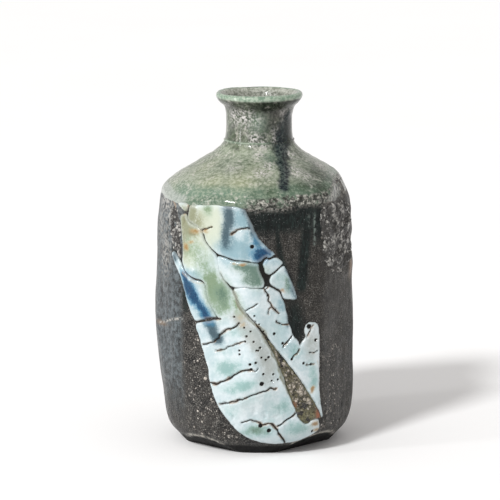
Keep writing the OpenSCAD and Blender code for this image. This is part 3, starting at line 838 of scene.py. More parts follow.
def make_relief_group():
    """Height of a fired surface: broad ripple, orange-peel and fine tooth."""
    w, given, give = new_group("Fired Relief", [("Place", VECTOR, None), ("Scale", NUMBER, 400.0),
                                                ("Tooth", NUMBER, 0.4)], [("Height", NUMBER)])
    ripple = w.noise(given["Place"], given["Scale"], 2.0, 0.5)
    tooth = w.noise(given["Place"], w.times(given["Scale"], 6.0), 3.0, 0.6)
    give(Height=w.math("ADD", ripple, w.times(tooth, given["Tooth"])))


def new_finish(name):
    """Empty material with its wiring and its Principled shader."""
    material = bpy.data.materials.new(name)
    material.use_nodes = True
    return material, Wiring(material.node_tree), material.node_tree.nodes["Principled BSDF"]


def wire(w, shader, colour, rough_value, height, bump, coat=0.0, coat_rough=0.05, specular=0.5, matt=None):
    """Links the changing values and sets the constant ones on the shader itself. The gloss dies out where
    matt is 1."""
    w.tree.links.new(colour, shader.inputs["Base Color"])
    w.tree.links.new(rough_value, shader.inputs["Roughness"])
    relief = w.add("Bump", {"Height": height, "Strength": 1.0, "Distance": bump})
    w.tree.links.new(relief.outputs[0], shader.inputs["Normal"])
    shader.inputs["Coat Weight"].default_value = coat
    shader.inputs["Coat Roughness"].default_value = coat_rough
    shader.inputs["Specular IOR Level"].default_value = specular
    if matt:
        w.tree.links.new(w.step(matt, 0.0, 1.0, coat, 0.0), shader.inputs["Coat Weight"])


def clay_finish(look):
    """Dark stoneware: charcoal with a satin gloss, brown and ink-blue clouds, upright knife streaks, feldspar
    grains, a matt band under the shoulder and a black foot. Painted light: a bluish tone with streaks on the
    left facets for the lights mirrored there, small pale dots for sparkle, a pale line along the foot's arris
    for its highlight, and near-black as shade where the foot faces down."""
    material, w, shader = new_finish("Iron Clay")
    at = w.place()
    streaks = w.group("Upright Streaks", place=at, scale=900.0, stretch=10.0)
    cloud = w.group("Mottle", place=at, scale=160.0, low=0.38, high=0.62)
    fine = w.group("Mottle", place=at, scale=1100.0, low=0.35, high=0.65)
    base = w.mix(cloud, look.clay_dark, look.clay_light)
    crumb = w.step(w.noise(at, 2300.0, 2.0, 0.6), 0.47, 0.64)
    crumb = w.times(crumb, w.step(w.noise(at, 300.0, 3.0), 0.36, 0.60, 0.3, 1.0))
    base = w.mix(w.times(crumb, 0.85), base, shade(114, 112, 107))
    fibre = w.group("Upright Streaks", place=at, scale=1500.0, stretch=4.0)
    colour = w.mix(w.times(w.mark("brown"), w.step(fibre, 0.0, 1.0, 0.35, 0.9)), base,
                   w.mix(crumb, shade(38, 36, 33), shade(90, 87, 82)))
    # Painted reflection of the lights on the left facets: bluish grey with upright streaks.
    painted_sheen_tone = w.mix(w.math("ADD", w.times(streaks, 0.25), w.times(w.step(w.noise(at, 420.0, 6.0, 0.8),
                                                                            0.40, 0.60), 0.75)),
                       shade(20, 23, 25), shade(106, 115, 119))
    colour = w.mix(w.times(w.mark("painted_sheen"), 0.8), colour, painted_sheen_tone)
    ink_tone = w.mix(w.times(fibre, w.step(cloud, 0.0, 1.0, 0.5, 1.0)), shade(3, 7, 7), shade(28, 40, 38))
    colour = w.mix(w.step(w.mark("ink"), 0.05, 0.75, 0.0, 0.95), colour, ink_tone)
    band = w.times(w.mark("band"), w.step(w.noise(at, 620.0, 5.0, 0.7), 0.40, 0.56))
    colour = w.mix(band, colour, w.mix(fine, shade(64, 62, 58), shade(150, 147, 140)))
    clumps = w.step(w.noise(at, 330.0, 3.0, 0.6), 0.46, 0.60)
    grains = w.times(w.group("Grains", place=at, scale=1250.0, size=0.62, share=0.45), clumps)
    stones = w.group("Grains", place=at, scale=560.0, size=0.50, share=0.10)
    specks = w.times(w.most(grains, stones), w.step(w.mark("specks"), 0.10, 0.70))
    colour = w.mix(specks, colour, w.mix(fine, shade(140, 133, 124), shade(222, 215, 206)))
    # Painted sparkle: small pale dots that stand for points of light.
    painted_glints = w.times(w.group("Grains", place=at, scale=2100.0, size=0.36, share=0.20), 0.5)
    colour = w.mix(painted_glints, colour, shade(176, 176, 176))
    broken = w.step(w.noise(at, 640.0, 4.0, 0.7), 0.42, 0.58)
    colour = w.mix(w.times(w.times(w.mark("run"), broken), 0.7), colour, shade(128, 140, 134))
    colour = w.mix(w.times(w.mark("seam"), 0.9), colour, shade(20, 18, 14))
    colour = w.mix(w.times(w.times(w.mark("fold"), broken), 0.7), colour, shade(24, 25, 20))
    colour = w.mix(w.times(w.mark("tan"), 0.8), colour, shade(150, 122, 92))
    colour = w.mix(w.times(w.mark("pale"), w.step(w.noise(at, 700.0, 3.0), 0.42, 0.56)), colour,
                   shade(170, 168, 162))
    # Painted highlight along the foot's arris, broken up by noise.
    colour = w.mix(w.times(w.mark("arris_highlight"), w.step(w.noise(at, 800.0, 4.0), 0.40, 0.60)), colour,
                   shade(184, 180, 170))
    # Foot painted near-black: dark clay, and painted shade where it faces down.
    colour = w.mix(w.times(w.mark("foot"), 0.95), colour, shade(11, 11, 11))
    sheen_rough = w.step(w.math("ADD", w.times(streaks, 0.5), w.times(cloud, 0.5)), 0.0, 1.0, 0.30, 0.52)
    matt = w.most(w.most(band, w.mark("foot")), specks)
    rough_value = w.math("ADD", sheen_rough, w.times(matt, 0.30), clamp=True)
    height = w.math("ADD", w.group("Fired Relief", place=at, scale=520.0, tooth=0.5),
                    w.math("ADD", w.times(streaks, 0.35), w.times(specks, 0.9)))
    wire(w, shader, colour, rough_value, height, 0.00016, coat=0.04, coat_rough=0.18, specular=0.15)
    return material


def ash_finish(look):
    """Green ash glaze: sage and celadon mottling with pale droplets, dark pooled green, pale matt crystals,
    a blue-black run and gloss that the crystals break."""
    material, w, shader = new_finish("Ash Glaze")
    at = w.place()
    broad = w.group("Mottle", place=at, scale=140.0, low=0.38, high=0.60)
    spots = w.group("Mottle", place=at, scale=780.0, low=0.40, high=0.60)
    dots = w.group("Grains", place=at, scale=1300.0, size=0.5, share=0.6)
    patches = w.group("Mottle", place=at, scale=230.0, low=0.52, high=0.60)
    colour = w.mix(broad, look.ash_deep, look.ash_sage)
    colour = w.mix(w.times(spots, 0.72), colour, look.ash_pale)
    colour = w.mix(w.times(dots, 0.45), colour, shade(184, 190, 172))
    veins = w.step(w.noise(at, 380.0, 6.0, 0.72), 0.53, 0.66)
    colour = w.mix(w.times(veins, 0.7), colour, shade(78, 92, 72))
    colour = w.mix(w.times(w.mark("olive"), 0.75), colour, w.mix(spots, shade(136, 140, 108), shade(172, 175,
                                                                                                    148)))
    colour = w.mix(w.times(w.mark("teal"), w.step(spots, 0.0, 1.0, 0.9, 0.55)), colour, shade(92, 118, 102))
    neck_tone = w.mix(w.step(w.noise(at, 420.0, 5.0, 0.7), 0.38, 0.66), shade(16, 26, 14), shade(78, 90, 70))
    colour = w.mix(w.mark("neck"), colour, neck_tone)
    colour = w.mix(w.times(w.mark("brown"), 0.85), colour, w.mix(spots, shade(50, 47, 42), shade(96, 92, 86)))
    colour = w.mix(w.times(w.mark("pooled"), w.step(spots, 0.0, 1.0, 1.0, 0.6)), colour, shade(50, 68, 46))
    crystal = w.times(w.mark("crystal"), w.group("Mottle", place=at, scale=1150.0, low=0.46, high=0.54))
    colour = w.mix(w.times(crystal, 0.95), colour, shade(206, 202, 199))
    colour = w.mix(w.times(w.times(patches, spots), 0.5), colour, shade(196, 192, 184))
    colour = w.mix(w.times(w.mark("celadon"), 0.75), colour, w.mix(spots, shade(108, 134, 116),
                                                                   shade(160, 176, 158)))
    drip_tone = w.mix(w.times(spots, 0.5), shade(8, 18, 24), shade(36, 60, 64))
    colour = w.mix(w.times(w.mark("drip"), w.step(spots, 0.0, 1.0, 1.0, 0.8)), colour, drip_tone)
    # Painted reflection: smooth grey on the left of the shoulder's lapping edge.
    grey = w.mix(spots, shade(146, 152, 146), shade(164, 170, 164))
    colour = w.mix(w.times(w.mark("painted_reflection"), 0.8), colour, grey)
    colour = w.mix(w.times(w.mark("inner"), 0.85), colour, w.mix(spots, shade(128, 132, 120), shade(186, 188,
                                                                                                    178)))
    clots = w.noise(at, 700.0, 6.0, 0.75)
    rough_band = w.times(w.mark("band"), w.step(w.noise(at, 330.0, 4.0, 0.7), 0.36, 0.50))
    colour = w.mix(rough_band, colour, w.mix(w.step(clots, 0.45, 0.62), shade(36, 39, 32), shade(176, 175,
                                                                                                 166)))
    colour = w.mix(w.times(w.mark("shade"), w.step(spots, 0.0, 1.0, 0.95, 0.55)), colour, shade(26, 30, 24))
    rough_value = w.math("ADD", w.step(spots, 0.0, 1.0, 0.16, 0.30), w.times(crystal, 0.22), clamp=True)
    height = w.math("ADD", w.group("Fired Relief", place=at, scale=430.0, tooth=0.3),
                    w.math("ADD", w.times(dots, 0.25), w.times(crystal, 0.8)))
    wire(w, shader, colour, rough_value, height, 0.00016, coat=0.45, coat_rough=0.06, specular=0.18,
         matt=w.times(w.most(w.mark("shade"), w.mark("drip")), 0.6))
    return material


def slip_finish(look):
    """White slip under clear glaze: bluish white with pooled stains, ochre iron spots, and brown-black cracks
    and pinholes with a rusty rim."""
    material, w, shader = new_finish("White Slip")
    at = w.place()
    broad = w.group("Mottle", place=at, scale=190.0, low=0.35, high=0.65)
    fine = w.group("Mottle", place=at, scale=1500.0, low=0.38, high=0.62)
    veins = w.group("Upright Streaks", place=at, scale=420.0, stretch=3.5)
    ragged = w.math("ADD", w.step(broad, 0.0, 1.0, 0.66, 0.92), w.times(veins, 0.20))
    colour = w.mix(w.times(broad, 0.75), look.slip_white, look.slip_shadow)
    for mark, share, thick, thin in (
            ("cream", 0.90, shade(186, 192, 172), shade(200, 206, 194)),
            ("sky", 0.90, shade(118, 150, 160), shade(152, 177, 184)),
            ("grey", 0.80, shade(150, 155, 150), shade(172, 178, 176)),
            ("celadon", 0.74, shade(108, 148, 142), shade(148, 178, 176)),
            ("khaki", 0.95, shade(120, 122, 92), shade(162, 166, 142)),
            ("green", 0.92, shade(100, 122, 86), shade(142, 162, 140)),
            ("moss", 0.92, shade(66, 94, 80), shade(118, 140, 122)),
            ("slate", 0.96, shade(44, 66, 76), shade(90, 118, 128)),
            ("cobalt", 1.0, shade(2, 44, 78), shade(58, 126, 160)),
            ("olive", 0.85, shade(86, 84, 54), shade(132, 132, 106)),
            ("ochre", 0.85, shade(136, 98, 42), shade(172, 144, 96))):
        amount = w.times(w.mark(mark), w.times(ragged, w.step(fine, 0.0, 1.0, 0.86, 1.16)))
        tone = w.mix(w.step(amount, 0.25, 0.80), thin, thick)
        tone = w.mix(w.times(fine, 0.22), tone, thin)
        colour = w.mix(w.step(amount, 0.0, 0.74, 0.0, share), colour, tone)
    edge_light = w.step(w.mark("edge"), 1.8, 0.5, 0.0, 0.22)
    colour = w.mix(edge_light, colour, look.slip_white)
    wander = w.times(w.math("SUBTRACT", w.noise(at, 1600.0, 3.0), 0.5), 0.5)
    crack = w.math("ADD", w.mark("crack"), wander)
    rust = w.times(w.step(crack, 0.55, 0.05), w.step(w.noise(at, 240.0, 2.0), 0.42, 0.62))
    colour = w.mix(w.times(rust, 0.5), colour, shade(160, 116, 68))
    line = w.step(crack, 0.03, -0.17)
    colour = w.mix(w.times(line, 0.96), colour, shade(34, 28, 22))
    hole = w.mark("hole")
    colour = w.mix(w.step(hole, 0.22, -0.02, 0.0, 0.5), colour, shade(126, 96, 58))
    colour = w.mix(w.step(hole, 0.10, -0.06), colour, shade(8, 6, 5))
    rim = w.step(w.mark("edge"), 0.34, 0.05)
    colour = w.mix(w.times(rim, 0.35), colour, shade(120, 116, 104))
    rough_value = w.math("ADD", w.step(broad, 0.0, 1.0, 0.16, 0.34), w.times(line, 0.4), clamp=True)
    height = w.math("ADD", w.group("Fired Relief", place=at, scale=260.0, tooth=0.25), w.times(line, -1.5))
    wire(w, shader, colour, rough_value, height, 0.00012, coat=0.30, coat_rough=0.07, specular=0.18,
         matt=w.most(line, w.step(hole, 0.10, -0.06)))
    return material


def grit_finish(name, deep, middle_tone, bright, share, olive):
    """Coarse feldspar grit melted into glaze: cells of stone in a dark groundmass, with painted sparkle for
    glassy highlights, and lump tops painted lighter as highlights.
    """
    material, w, shader = new_finish(name)
    at = w.place()
    cells = w.add("TexVoronoi", {"Vector": at, "Scale": 560.0},
                  feature="DISTANCE_TO_EDGE").outputs["Distance"]
    fine = w.group("Mottle", place=at, scale=900.0, low=0.36, high=0.64)
    stones = w.group("Grains", place=at, scale=480.0, size=0.72, share=share)
    painted_glints = w.group("Grains", place=at, scale=1300.0, size=0.42, share=0.35)
    colour = w.mix(fine, deep, middle_tone)
    colour = w.mix(w.times(stones, 0.8), colour, bright)
    # Painted sparkle: small bright dots that stand for light caught on glassy grit.
    colour = w.mix(w.times(painted_glints, 0.8), colour, shade(206, 204, 198))
    # Painted highlight: the tops of the raised lumps turn bright.
    colour = w.mix(w.times(w.times(w.step(w.mark("lump"), 0.05, 0.50), w.step(w.noise(at, 520.0, 5.0, 0.75),
                                                                              0.44, 0.58)), 0.85), colour,
                   bright)
    gap = w.step(cells, 0.10, 0.0)
    colour = w.mix(w.times(gap, 0.6), colour, deep)
    colour = w.mix(w.times(w.mark("olive"), olive), colour, w.mix(fine, shade(74, 72, 46), shade(120, 116,
                                                                                                 82)))
    colour = w.mix(w.times(w.mark("rust"), 0.9 * olive), colour, shade(168, 84, 44))
    rough_value = w.step(w.most(painted_glints, stones), 0.0, 1.0, 0.55, 0.24)
    height = w.math("SUBTRACT", w.math("ADD", w.times(stones, 1.0), w.group("Fired Relief", place=at,
                                                                            scale=700.0, tooth=0.8)),
                    w.times(gap, 0.6))
    wire(w, shader, colour, rough_value, height, 0.00040, coat=0.35, coat_rough=0.12)
    return material


def lining_finish():
    """Thin glossy glaze inside the hollow: grey-green with iron speckle, darker where it runs thin."""
    material, w, shader = new_finish("Inner Glaze")
    at = w.place()
    broad = w.group("Mottle", place=at, scale=90.0, low=0.36, high=0.64)
    iron = w.group("Grains", place=at, scale=800.0, size=0.4, share=0.35)
    colour = w.mix(broad, shade(86, 96, 84), shade(132, 142, 124))
    colour = w.mix(w.times(iron, 0.6), colour, shade(74, 58, 40))
    height = w.group("Fired Relief", place=at, scale=200.0, tooth=0.2)
    wire(w, shader, colour, w.step(broad, 0.0, 1.0, 0.18, 0.30), height, 0.00012, coat=0.3)
    return material


# ---------------------------------------------------------------- settings

def tone_setting(name, description, default):
    """Colour that the panel can change."""
    return bpy.props.FloatVectorProperty(name=name, description=description, size=4, subtype="COLOR",
                                         default=default, min=0, max=1)


def length_setting(name, description, default, low, high):
    """Length in metres that the panel can change."""
    return bpy.props.FloatProperty(name=name, description=description, default=default, min=low, max=high,
                                   unit="LENGTH", subtype="DISTANCE")


class BottleSizes(bpy.types.PropertyGroup):
    slip_thickness: length_setting("Slip thickness", "How far the white slip stands off the clay", 0.0008,
                                   0.0004, 0.0014)
    grit_thickness: length_setting("Grit thickness", "How far the melted grit stands off the clay", 0.0006,
                                   0.0002, 0.0012)
    coat_pitch: length_setting("Coat pitch", "Grid step of the slip and the grit", 0.00026, 0.0002, 0.001)
    columns: bpy.props.IntProperty(
        name="Columns", description="Grid columns round the bottle", default=480, min=120, max=560)


class BottleColours(bpy.types.PropertyGroup):
    clay_dark: tone_setting("Clay, dark", "Darkest tone of the iron clay", shade(19, 19, 20))
    clay_light: tone_setting("Clay, light", "Lightest tone of the iron clay", shade(47, 45, 43))
    ash_deep: tone_setting("Ash glaze, deep", "Glaze where it is thick", shade(88, 102, 82))
    ash_sage: tone_setting("Ash glaze, sage", "Main tone of the ash glaze", shade(128, 137, 118))
    ash_pale: tone_setting("Ash glaze, pale", "Glaze where it breaks over the clay", shade(170, 176, 160))
    slip_white: tone_setting("Slip, white", "Main tone of the white slip", shade(199, 208, 211))
    slip_shadow: tone_setting("Slip, cool", "Cool tone that clouds the white slip", shade(158, 180, 184))


class BottleStage(bpy.types.PropertyGroup):
    floor_tone: tone_setting("Floor", "Tone of the floor", (0.9, 0.9, 0.9, 1.0))
    key_strength: bpy.props.FloatProperty(
        name="Key light", description="Strength of the key light", default=2.38, min=0)
    side_power: bpy.props.FloatProperty(
        name="Side light", description="Power of the tall side light", default=2.5, min=0, unit="POWER")
    room_light: bpy.props.FloatProperty(
        name="Room light", description="Strength of the even white room", default=0.65, min=0)


def sizes():
    """The bottle's sizes, as set in the panel."""
    return bpy.context.scene.bottle_sizes


def finish(name):
    """The material of that name, made the first time that it is asked for."""
    if name not in bpy.data.materials:
        look = bpy.context.scene.bottle_colours
        if "Mottle" not in bpy.data.node_groups:
            make_mottle_group()
            make_streak_group()
            make_speck_group()
            make_relief_group()
        makers = {
            "Iron Clay": lambda: clay_finish(look),
            "Ash Glaze": lambda: ash_finish(look),
            "White Slip": lambda: slip_finish(look),
            "Inner Glaze": lambda: lining_finish(),
            "Olive Grit": lambda: grit_finish("Olive Grit", shade(40, 37, 24), shade(98, 92, 66),
                                              shade(192, 182, 168),
                                              0.75, 0.85),
            "Silver Grit": lambda: grit_finish("Silver Grit", shade(20, 19, 17), shade(62, 59, 54),
                                               shade(190, 188, 182),
                                               0.45, 0.0),
        }
        makers[name]()
    return bpy.data.materials[name]


# ---------------------------------------------------------------- pieces

def azimuths():
    """Azimuths of the grid's columns."""
    return np.linspace(-180, 180, sizes().columns, endpoint=False)


def make_base():
    """Foot slab: from the middle of the underside out to the foot ring, up the bevel to the seam with the
    wall, in along the seat and up round the tenon."""
    a = azimuths()
    foot = pared_radius(a, 0 * a)
    hollow = [place(a, foot * k, 0 * a + 0.8 * ease(0.95, 0.80, k)) for k in (0.05, 0.3, 0.6, 0.8, 0.86, 0.91,
                                                                              0.95, 0.985)]
    z = np.linspace(0, SEAT_Z, 12)[:, None]
    outside = wall_point(a[None, :], z)
    seat = pared_radius(a, SEAT_Z + 0 * a)
    steps = [(BASE_TENON_R, SEAT_Z), (BASE_TENON_R, FLOOR_Z), (15.0, FLOOR_Z), (1.0, FLOOR_Z)]
    inside = [place(a, seat * 0.97, SEAT_Z + 0 * a)]
    inside += [place(a, radius + 0 * a, height + 0 * a) for radius, height in steps]
    rows = np.concatenate([np.stack(hollow), outside, np.stack(inside)])
    marks = wall_marks(a[None, :], rows[..., 2])
    # The underside painted dark: dark clay, and painted shade under the bottle.
    marks["foot"][:len(hollow)] = 0.85
    piece = turned_solid("Base_Slab", rows, marks, poles=True)
    finish_piece(piece, "clay", finish("Iron Clay"), "base_slab")


def make_wall():
    """Pared wall: up the outside, in over the seam under the shoulder, and down the hollow to the floor."""
    a = azimuths()
    z = np.linspace(SEAT_Z, WALL_TOP_Z, 172)[:, None]
    outside = wall_point(a[None, :], z)
    wide, deep = REBATE
    down = [(WALL_TOP_Z, CAVITY_R + wide), (WALL_TOP_Z - deep, CAVITY_R + wide), (WALL_TOP_Z - deep, 34.5),
            (94, CAVITY_R)]
    down += [(k, CAVITY_R) for k in np.linspace(88, 26, 10)]
    down += [(20, CAVITY_R), (14, 35.0), (10, 33.5), (FLOOR_Z, BASE_TENON_R), (SEAT_Z, BASE_TENON_R)]
    inside = np.stack([place(a, radius + 0 * a, height + 0 * a) for height, radius in down])
    rows = np.concatenate([outside, inside])
    piece = turned_solid("Pared_Wall", rows, wall_marks(a[None, :], rows[..., 2]))
    finish_piece(piece, "clay", finish("Iron Clay"), "body_wall")


def make_shoulder():
    """Clay of the shoulder: up the wall above the seam, in under the glaze to the collar, down the tenon
    hole and out along the dome of the hollow."""
    a = azimuths()
    raised = dome_rows(a, 26)
    rim_z = raised[0, :, 2]
    share = np.linspace(0, 1, 9)[:-1, None]
    outside = wall_point(a[None, :], WALL_TOP_Z + share * (rim_z - 0.6 - WALL_TOP_Z))
    raised[..., 2] -= GLAZE_T + 0.1
    raised[:3] += (place(a, 0 * a - 0.4, 0 * a) - place(a, 0 * a, 0 * a)) * np.array([1.0, 0.8, 0.4])[:, None,
                                                                                                      None]
    inner = [(COLLAR_Z - 0.1, NECK_TENON_R), (TENON_Z, NECK_TENON_R), (118.5, 17.0), (115, 22.0), (111, 27.0),
             (107, 30.5),
             (WALL_TOP_Z, 32.0)]
    inside = [place(a, radius + 0 * a, height + 0 * a, NECK_X) for height, radius in inner]
    inside += [place(a, CAVITY_R + REBATE[0] + 0 * a, WALL_TOP_Z + 0 * a)]
    rows = np.concatenate([outside, raised[:-1], np.stack(inside)])
    piece = turned_solid("Shoulder", rows, wall_marks(a[None, :], rows[..., 2]))
    finish_piece(piece, "clay", finish("Iron Clay"), "shoulder")


def glaze_relief(p, turn):
    """Thickness changes of the ash glaze: broad pools, runs that follow the fall of the dome, small dimples,
    faint throwing rings on the neck, and the thick dark run."""
    x, y, z = p[..., 0] - NECK_X, p[..., 1] - TURN_Y, p[..., 2]
    pools = 0.20 * lumps(p, 11, 11) + 0.10 * lumps(p, 4.2, 12)
    runs = 0.12 * lumps(np.stack([x, y, z * 0.25], -1) / np.maximum(np.hypot(x, y), 1)[..., None] * 14, 1.2,
                        13)
    dimples = 0.04 * lumps(p, 1.3, 14) + 0.06 * np.maximum(lumps(p, 2.1, 15), 0)
    neck = ease(129, 132, z)
    rings = 0.05 * np.sin(2 * np.pi * z / 2.8 + np.radians(turn)) * neck * ease(144, 140, z)
    drip = 0.35 * np.exp(-(to_line(p, drip_path()) / 1.7) ** 2)
    return pools + runs * (1 - 0.5 * neck) + dimples + rings + drip - 0.05


def drip_path():
    """Middle line of the dark run, from under the lip down the neck and over the dome."""
    stops = [(60, 139.5, 14.1), (50, 133.5, 14.0), (40, 128.4, 14.8), (31, 124.3, 17.9), (25.2, 120.7, 23.2),
             (20.0, 116.7, 30.0), (16.4, 113.2, 35.8)]
    turn, height, radius = np.array(stops).T
    return place(turn, radius, height, NECK_X)


def glaze_marks(p, a, climb, mouth):
    """Where each tone of the ash glaze lies. Spots are bells round points on the dome and the neck, given as
    azimuth about the neck, height, radius and size."""
    x, y, z = p[..., 0] - NECK_X, p[..., 1] - TURN_Y, p[..., 2]
    turn, radius = np.degrees(np.arctan2(x, -y)), np.hypot(x, y)

    def spots(*stops):
        masks = []
        for azimuth, height, r, size, share in stops:
            middle_point = place(np.float64(azimuth), r, height, NECK_X)
            masks.append(share * np.exp(-(np.linalg.norm(p - middle_point, axis=-1) / size) ** 2))
        return strongest(*masks)

    to_drip = to_line(p, drip_path())
    width = 2.5 + 1.9 * ease(122, 129, z) * ease(141, 135, z)
    outer = ease(LIP_R - 5.5, LIP_R - 4.0, radius) * (1 - mouth * ease(LIP_R - 1, LIP_R - 2, radius))
    behind = ease(85, 120, np.abs(turn))
    outer_neck = ease(LIP_R - 1, LIP_R - 3, radius)
    # Painted shade in a band under the lip, stronger on the right.
    under_lip = ease(147.1, 146.2, z) * ease(139, 142.5, z) * (0.75 + 0.5 * lumps(p, 3,
                                                                                  26)) * ease(BORE_R + 3, 15,
                                                                                              radius)
    return {
        "drip": ease(1.5, 0.5, to_drip / width * (1 + 0.35 * lumps(p, 2.5, 21) + 0.2 * lumps(p, 1.0, 22))),
        "inner": ease(LIP_R - 1.2, LIP_R - 2.6, radius) * ease(TOP_Z - 9, TOP_Z - 2,
                                                               z + 4 * (radius < 12.9)) * mouth,
        "celadon": strongest(ease(146.4, 147.2, z) * outer, 0.55 * spots((0, 137, 14, 4.5, 1)),
                             0.8 * np.exp(-((z - RING_Z) / 0.35) ** 2) * ease(32, 14, turn)),
        "shade": strongest(under_lip * (0.72 + 0.28 * ease(0, 25, turn)),
                           0.85 * ease(-0.35, -0.95, climb + 0.4 * lumps(p, 2.5, 27)) * ease(-9, 2,
                                                                                             a) * ease(100,
                                                                                                       90, a),
                           spots((66, 134, 14, 4.5, 1), (24, 136, 14, 3.4, 0.75), (58, 130, 14.2, 3.5, 0.9),
                                 (16, 123, 19.5, 2.8, 0.3), (34, 122, 21, 3.2, 0.55),
                                 (56, 116, 30, 6.5, 0.75), (42, 112.6, 36.5, 5.5, 0.6), (-150, 136, 14, 6,
                                                                                         0.8), (150, 118, 27,
                                                                                                7, 0.6),
                                 (-40, 143.5, 15, 2.5, 0.6))),
        "teal": strongest(spots((-0.5, 141, 14.1, 3.2, 0.9), (2, 135, 14, 3.4, 0.8), (9, 130, 14.2, 3.2, 0.7),
                                (14, 123, 19.5, 3.8, 0.8)), 0.9 * ease(0.30, 0.12, climb) * ease(-75, -50,
                                                                                                 turn),
                          0.7 * behind * ease(0.4, 0.1, climb)),
        "pooled": strongest(spots((7, 111.8, 37.5, 4.6, 0.85), (-3, 110.5, 38, 3.6, 0.6), (61, 113.5, 34, 5,
                                                                                           0.7),
                                  (31, 113.5, 35.5, 6, 0.95), (21, 112.5, 36.5, 3.6, 0.7), (52, 116.0, 31,
                                                                                            6.5, 0.9),
                                  (68, 119, 26, 5.5, 0.8), (44, 113.0, 36, 7, 1), (62, 112, 37, 6, 0.9),
                                  (30, 112.4, 37.5, 4, 0.7),
                                  (120, 113, 36, 9, 0.8), (-128, 113, 36, 9, 0.8)), 0.4 * ease(0.1, 0.02,
                                                                                               climb)),
        "olive": spots((-35, 114.6, 34, 7.5, 0.7), (-14, 114.6, 33.7, 8, 0.9), (-4, 117.5, 28, 6, 0.5),
                       (-32, 131.5, 14, 5, 0.6), (-60, 118, 26, 6, 0.5), (170, 122, 21, 9, 0.6),
                       (8, 112.8, 36.5, 5, 0.6)),
        "brown": spots((22, 138.5, 14, 4.2, 0.9), (36, 140.5, 14, 4.5, 0.9), (78, 137, 14, 5, 0.8),
                       (60, 124, 18, 3.5, 0.5),
                       (95, 130, 14.5, 6, 0.7)),
        "neck": ease(BORE_R + 2, 13.2, radius) * strongest(
            np.maximum(outer_neck, ease(140, 143, z) * ease(147.0, 146.2, z))
            * strongest(ease(124.5, 130, z) * (0.80 + 0.20 * ease(-45, 20, turn)),
                        np.exp(-((z - 125.5) / 2.8) ** 2) * ease(-0.3, 0.3, lumps(p, 4, 24))),
            0.24 * np.exp(-((z - 120.5) / 5.0) ** 2)),
        "crystal": spots((-45, 139.8, 14.2, 4.2, 0.9), (-24, 139.6, 14.1, 4.4, 1), (-8, 138, 14, 3.2, 0.8),
                         (-9, 131, 14.1, 2.8, 1), (8, 128.7, 14.8, 2.6, 0.8), (0, 124.4, 17.6, 2.6, 0.8),
                         (9, 120.5, 23.5, 2.6, 1), (2, 118, 27.2, 3.2, 0.9), (-26, 119.5, 25, 3.4, 0.5),
                         (44, 124, 18.4, 2.8, 1), (34, 118.4, 27, 3.8, 1), (40, 116.4, 30.2, 3.6, 0.8),
                         (72, 118, 27, 4.5, 0.8), (73, 114.4, 33, 4.5, 0.9), (30, 133.6, 14, 2.2, 0.9),
                         (28, 130, 14.1, 1.8, 0.9), (50, 137, 14, 1.6, 0.9), (44, 141.5, 14.5, 1.8, 0.8),
                         (62, 142, 14.5, 3.0, 0.7), (130, 126, 16, 5, 0.8), (-110, 122, 21, 5, 0.7),
                         (-170, 132, 14, 5, 0.8), (150, 112, 37, 5, 0.6)),
        "band": ease(0.045, 0.0, climb + 0.012 * lumps(p, 3, 25)) * strongest(ease(-9, 2, a) * ease(100, 90,
                                                                                                    a),
                                                                              0.7 * behind),
        # Painted reflection on the left of the lapping edge.
        "painted_reflection": ease(0.10, 0.03, climb) * ease(-42, -50, a) * ease(-100, -90, a),
    }


def make_glaze():
    """Ash glaze: a lapping edge on the wall, over the rounded arris, up the dome, round the collar, up the
    neck, over the lip and down the mouth; its back is the same surface set in by its thickness, with fewer
    rows."""
    a = azimuths()
    dome = dome_rows(a, 76)
    rim_z = dome[0, :, 2]
    turn_points = place(a, MAP_R, 100 + 0 * a)
    lap = np.maximum(1.3, rim_z - GLAZE_EDGE_Z) + 0.8 * lumps(turn_points, 5.5, 31) + 0.4 * lumps(turn_points,
                                                                                                  2.0, 32)
    t = np.linspace(1, 0, 15)[:-1, None]
    lapped = wall_point(a[None, :], rim_z - lap * t, 0.24 * np.sqrt(1 - t ** 2) - 0.06)
    neck_line = spline(NECK_LINE, 82)[1:]
    sway = 0.16 * np.sin(np.radians(a + 70)) + 0.09 * np.sin(np.radians(2 * a - 30))
    sway = sway + 0.05 * np.sin(np.radians(5 * a))
    turned = place(a[None, :], neck_line[:, :1], neck_line[:, 1:] + 0 * a, NECK_X)
    turned[..., 2] += (sway - 0.12) * ease(138, TOP_Z, turned[..., 2])
    rows = np.concatenate([lapped, dome, turned])
    rows[:42] = eased_rows(rows[:42], 20)
    front = outward(rows)
    climb = np.concatenate([-t[:, 0], np.linspace(0, 1, len(dome)), np.ones(len(turned))])[:, None] + 0 * a
    relief = glaze_relief(rows, a[None, :])
    rise = np.concatenate([1 - t[:, 0] ** 2, np.ones(len(rows) - len(t))])[:, None]
    relief = relief + 0.36 * np.exp(-((a + 25) / 12) ** 2) * ease(0.07, 0.0, climb)
    relief = relief * rise * ease(BORE_TOP_Z - 1, BORE_TOP_Z + 4, rows[..., 2] + 60 * (climb < 1))
    face = rows + front * relief[..., None]
    mouth = (np.arange(len(rows)) > len(rows) - MOUTH_ROWS)[:, None] * 1.0
    marks = glaze_marks(rows, a[None, :], climb, mouth)
    back = slice(None, None, -7)
    shell = np.concatenate([face, (rows - GLAZE_SHELL * front)[back]])
    marks = {mark: np.concatenate([values, values[back]]) for mark, values in marks.items()}
    piece = turned_solid("Ash_Glaze", shell, marks)
    finish_piece(piece, "ash_green", finish("Ash Glaze"), "ash_glaze")


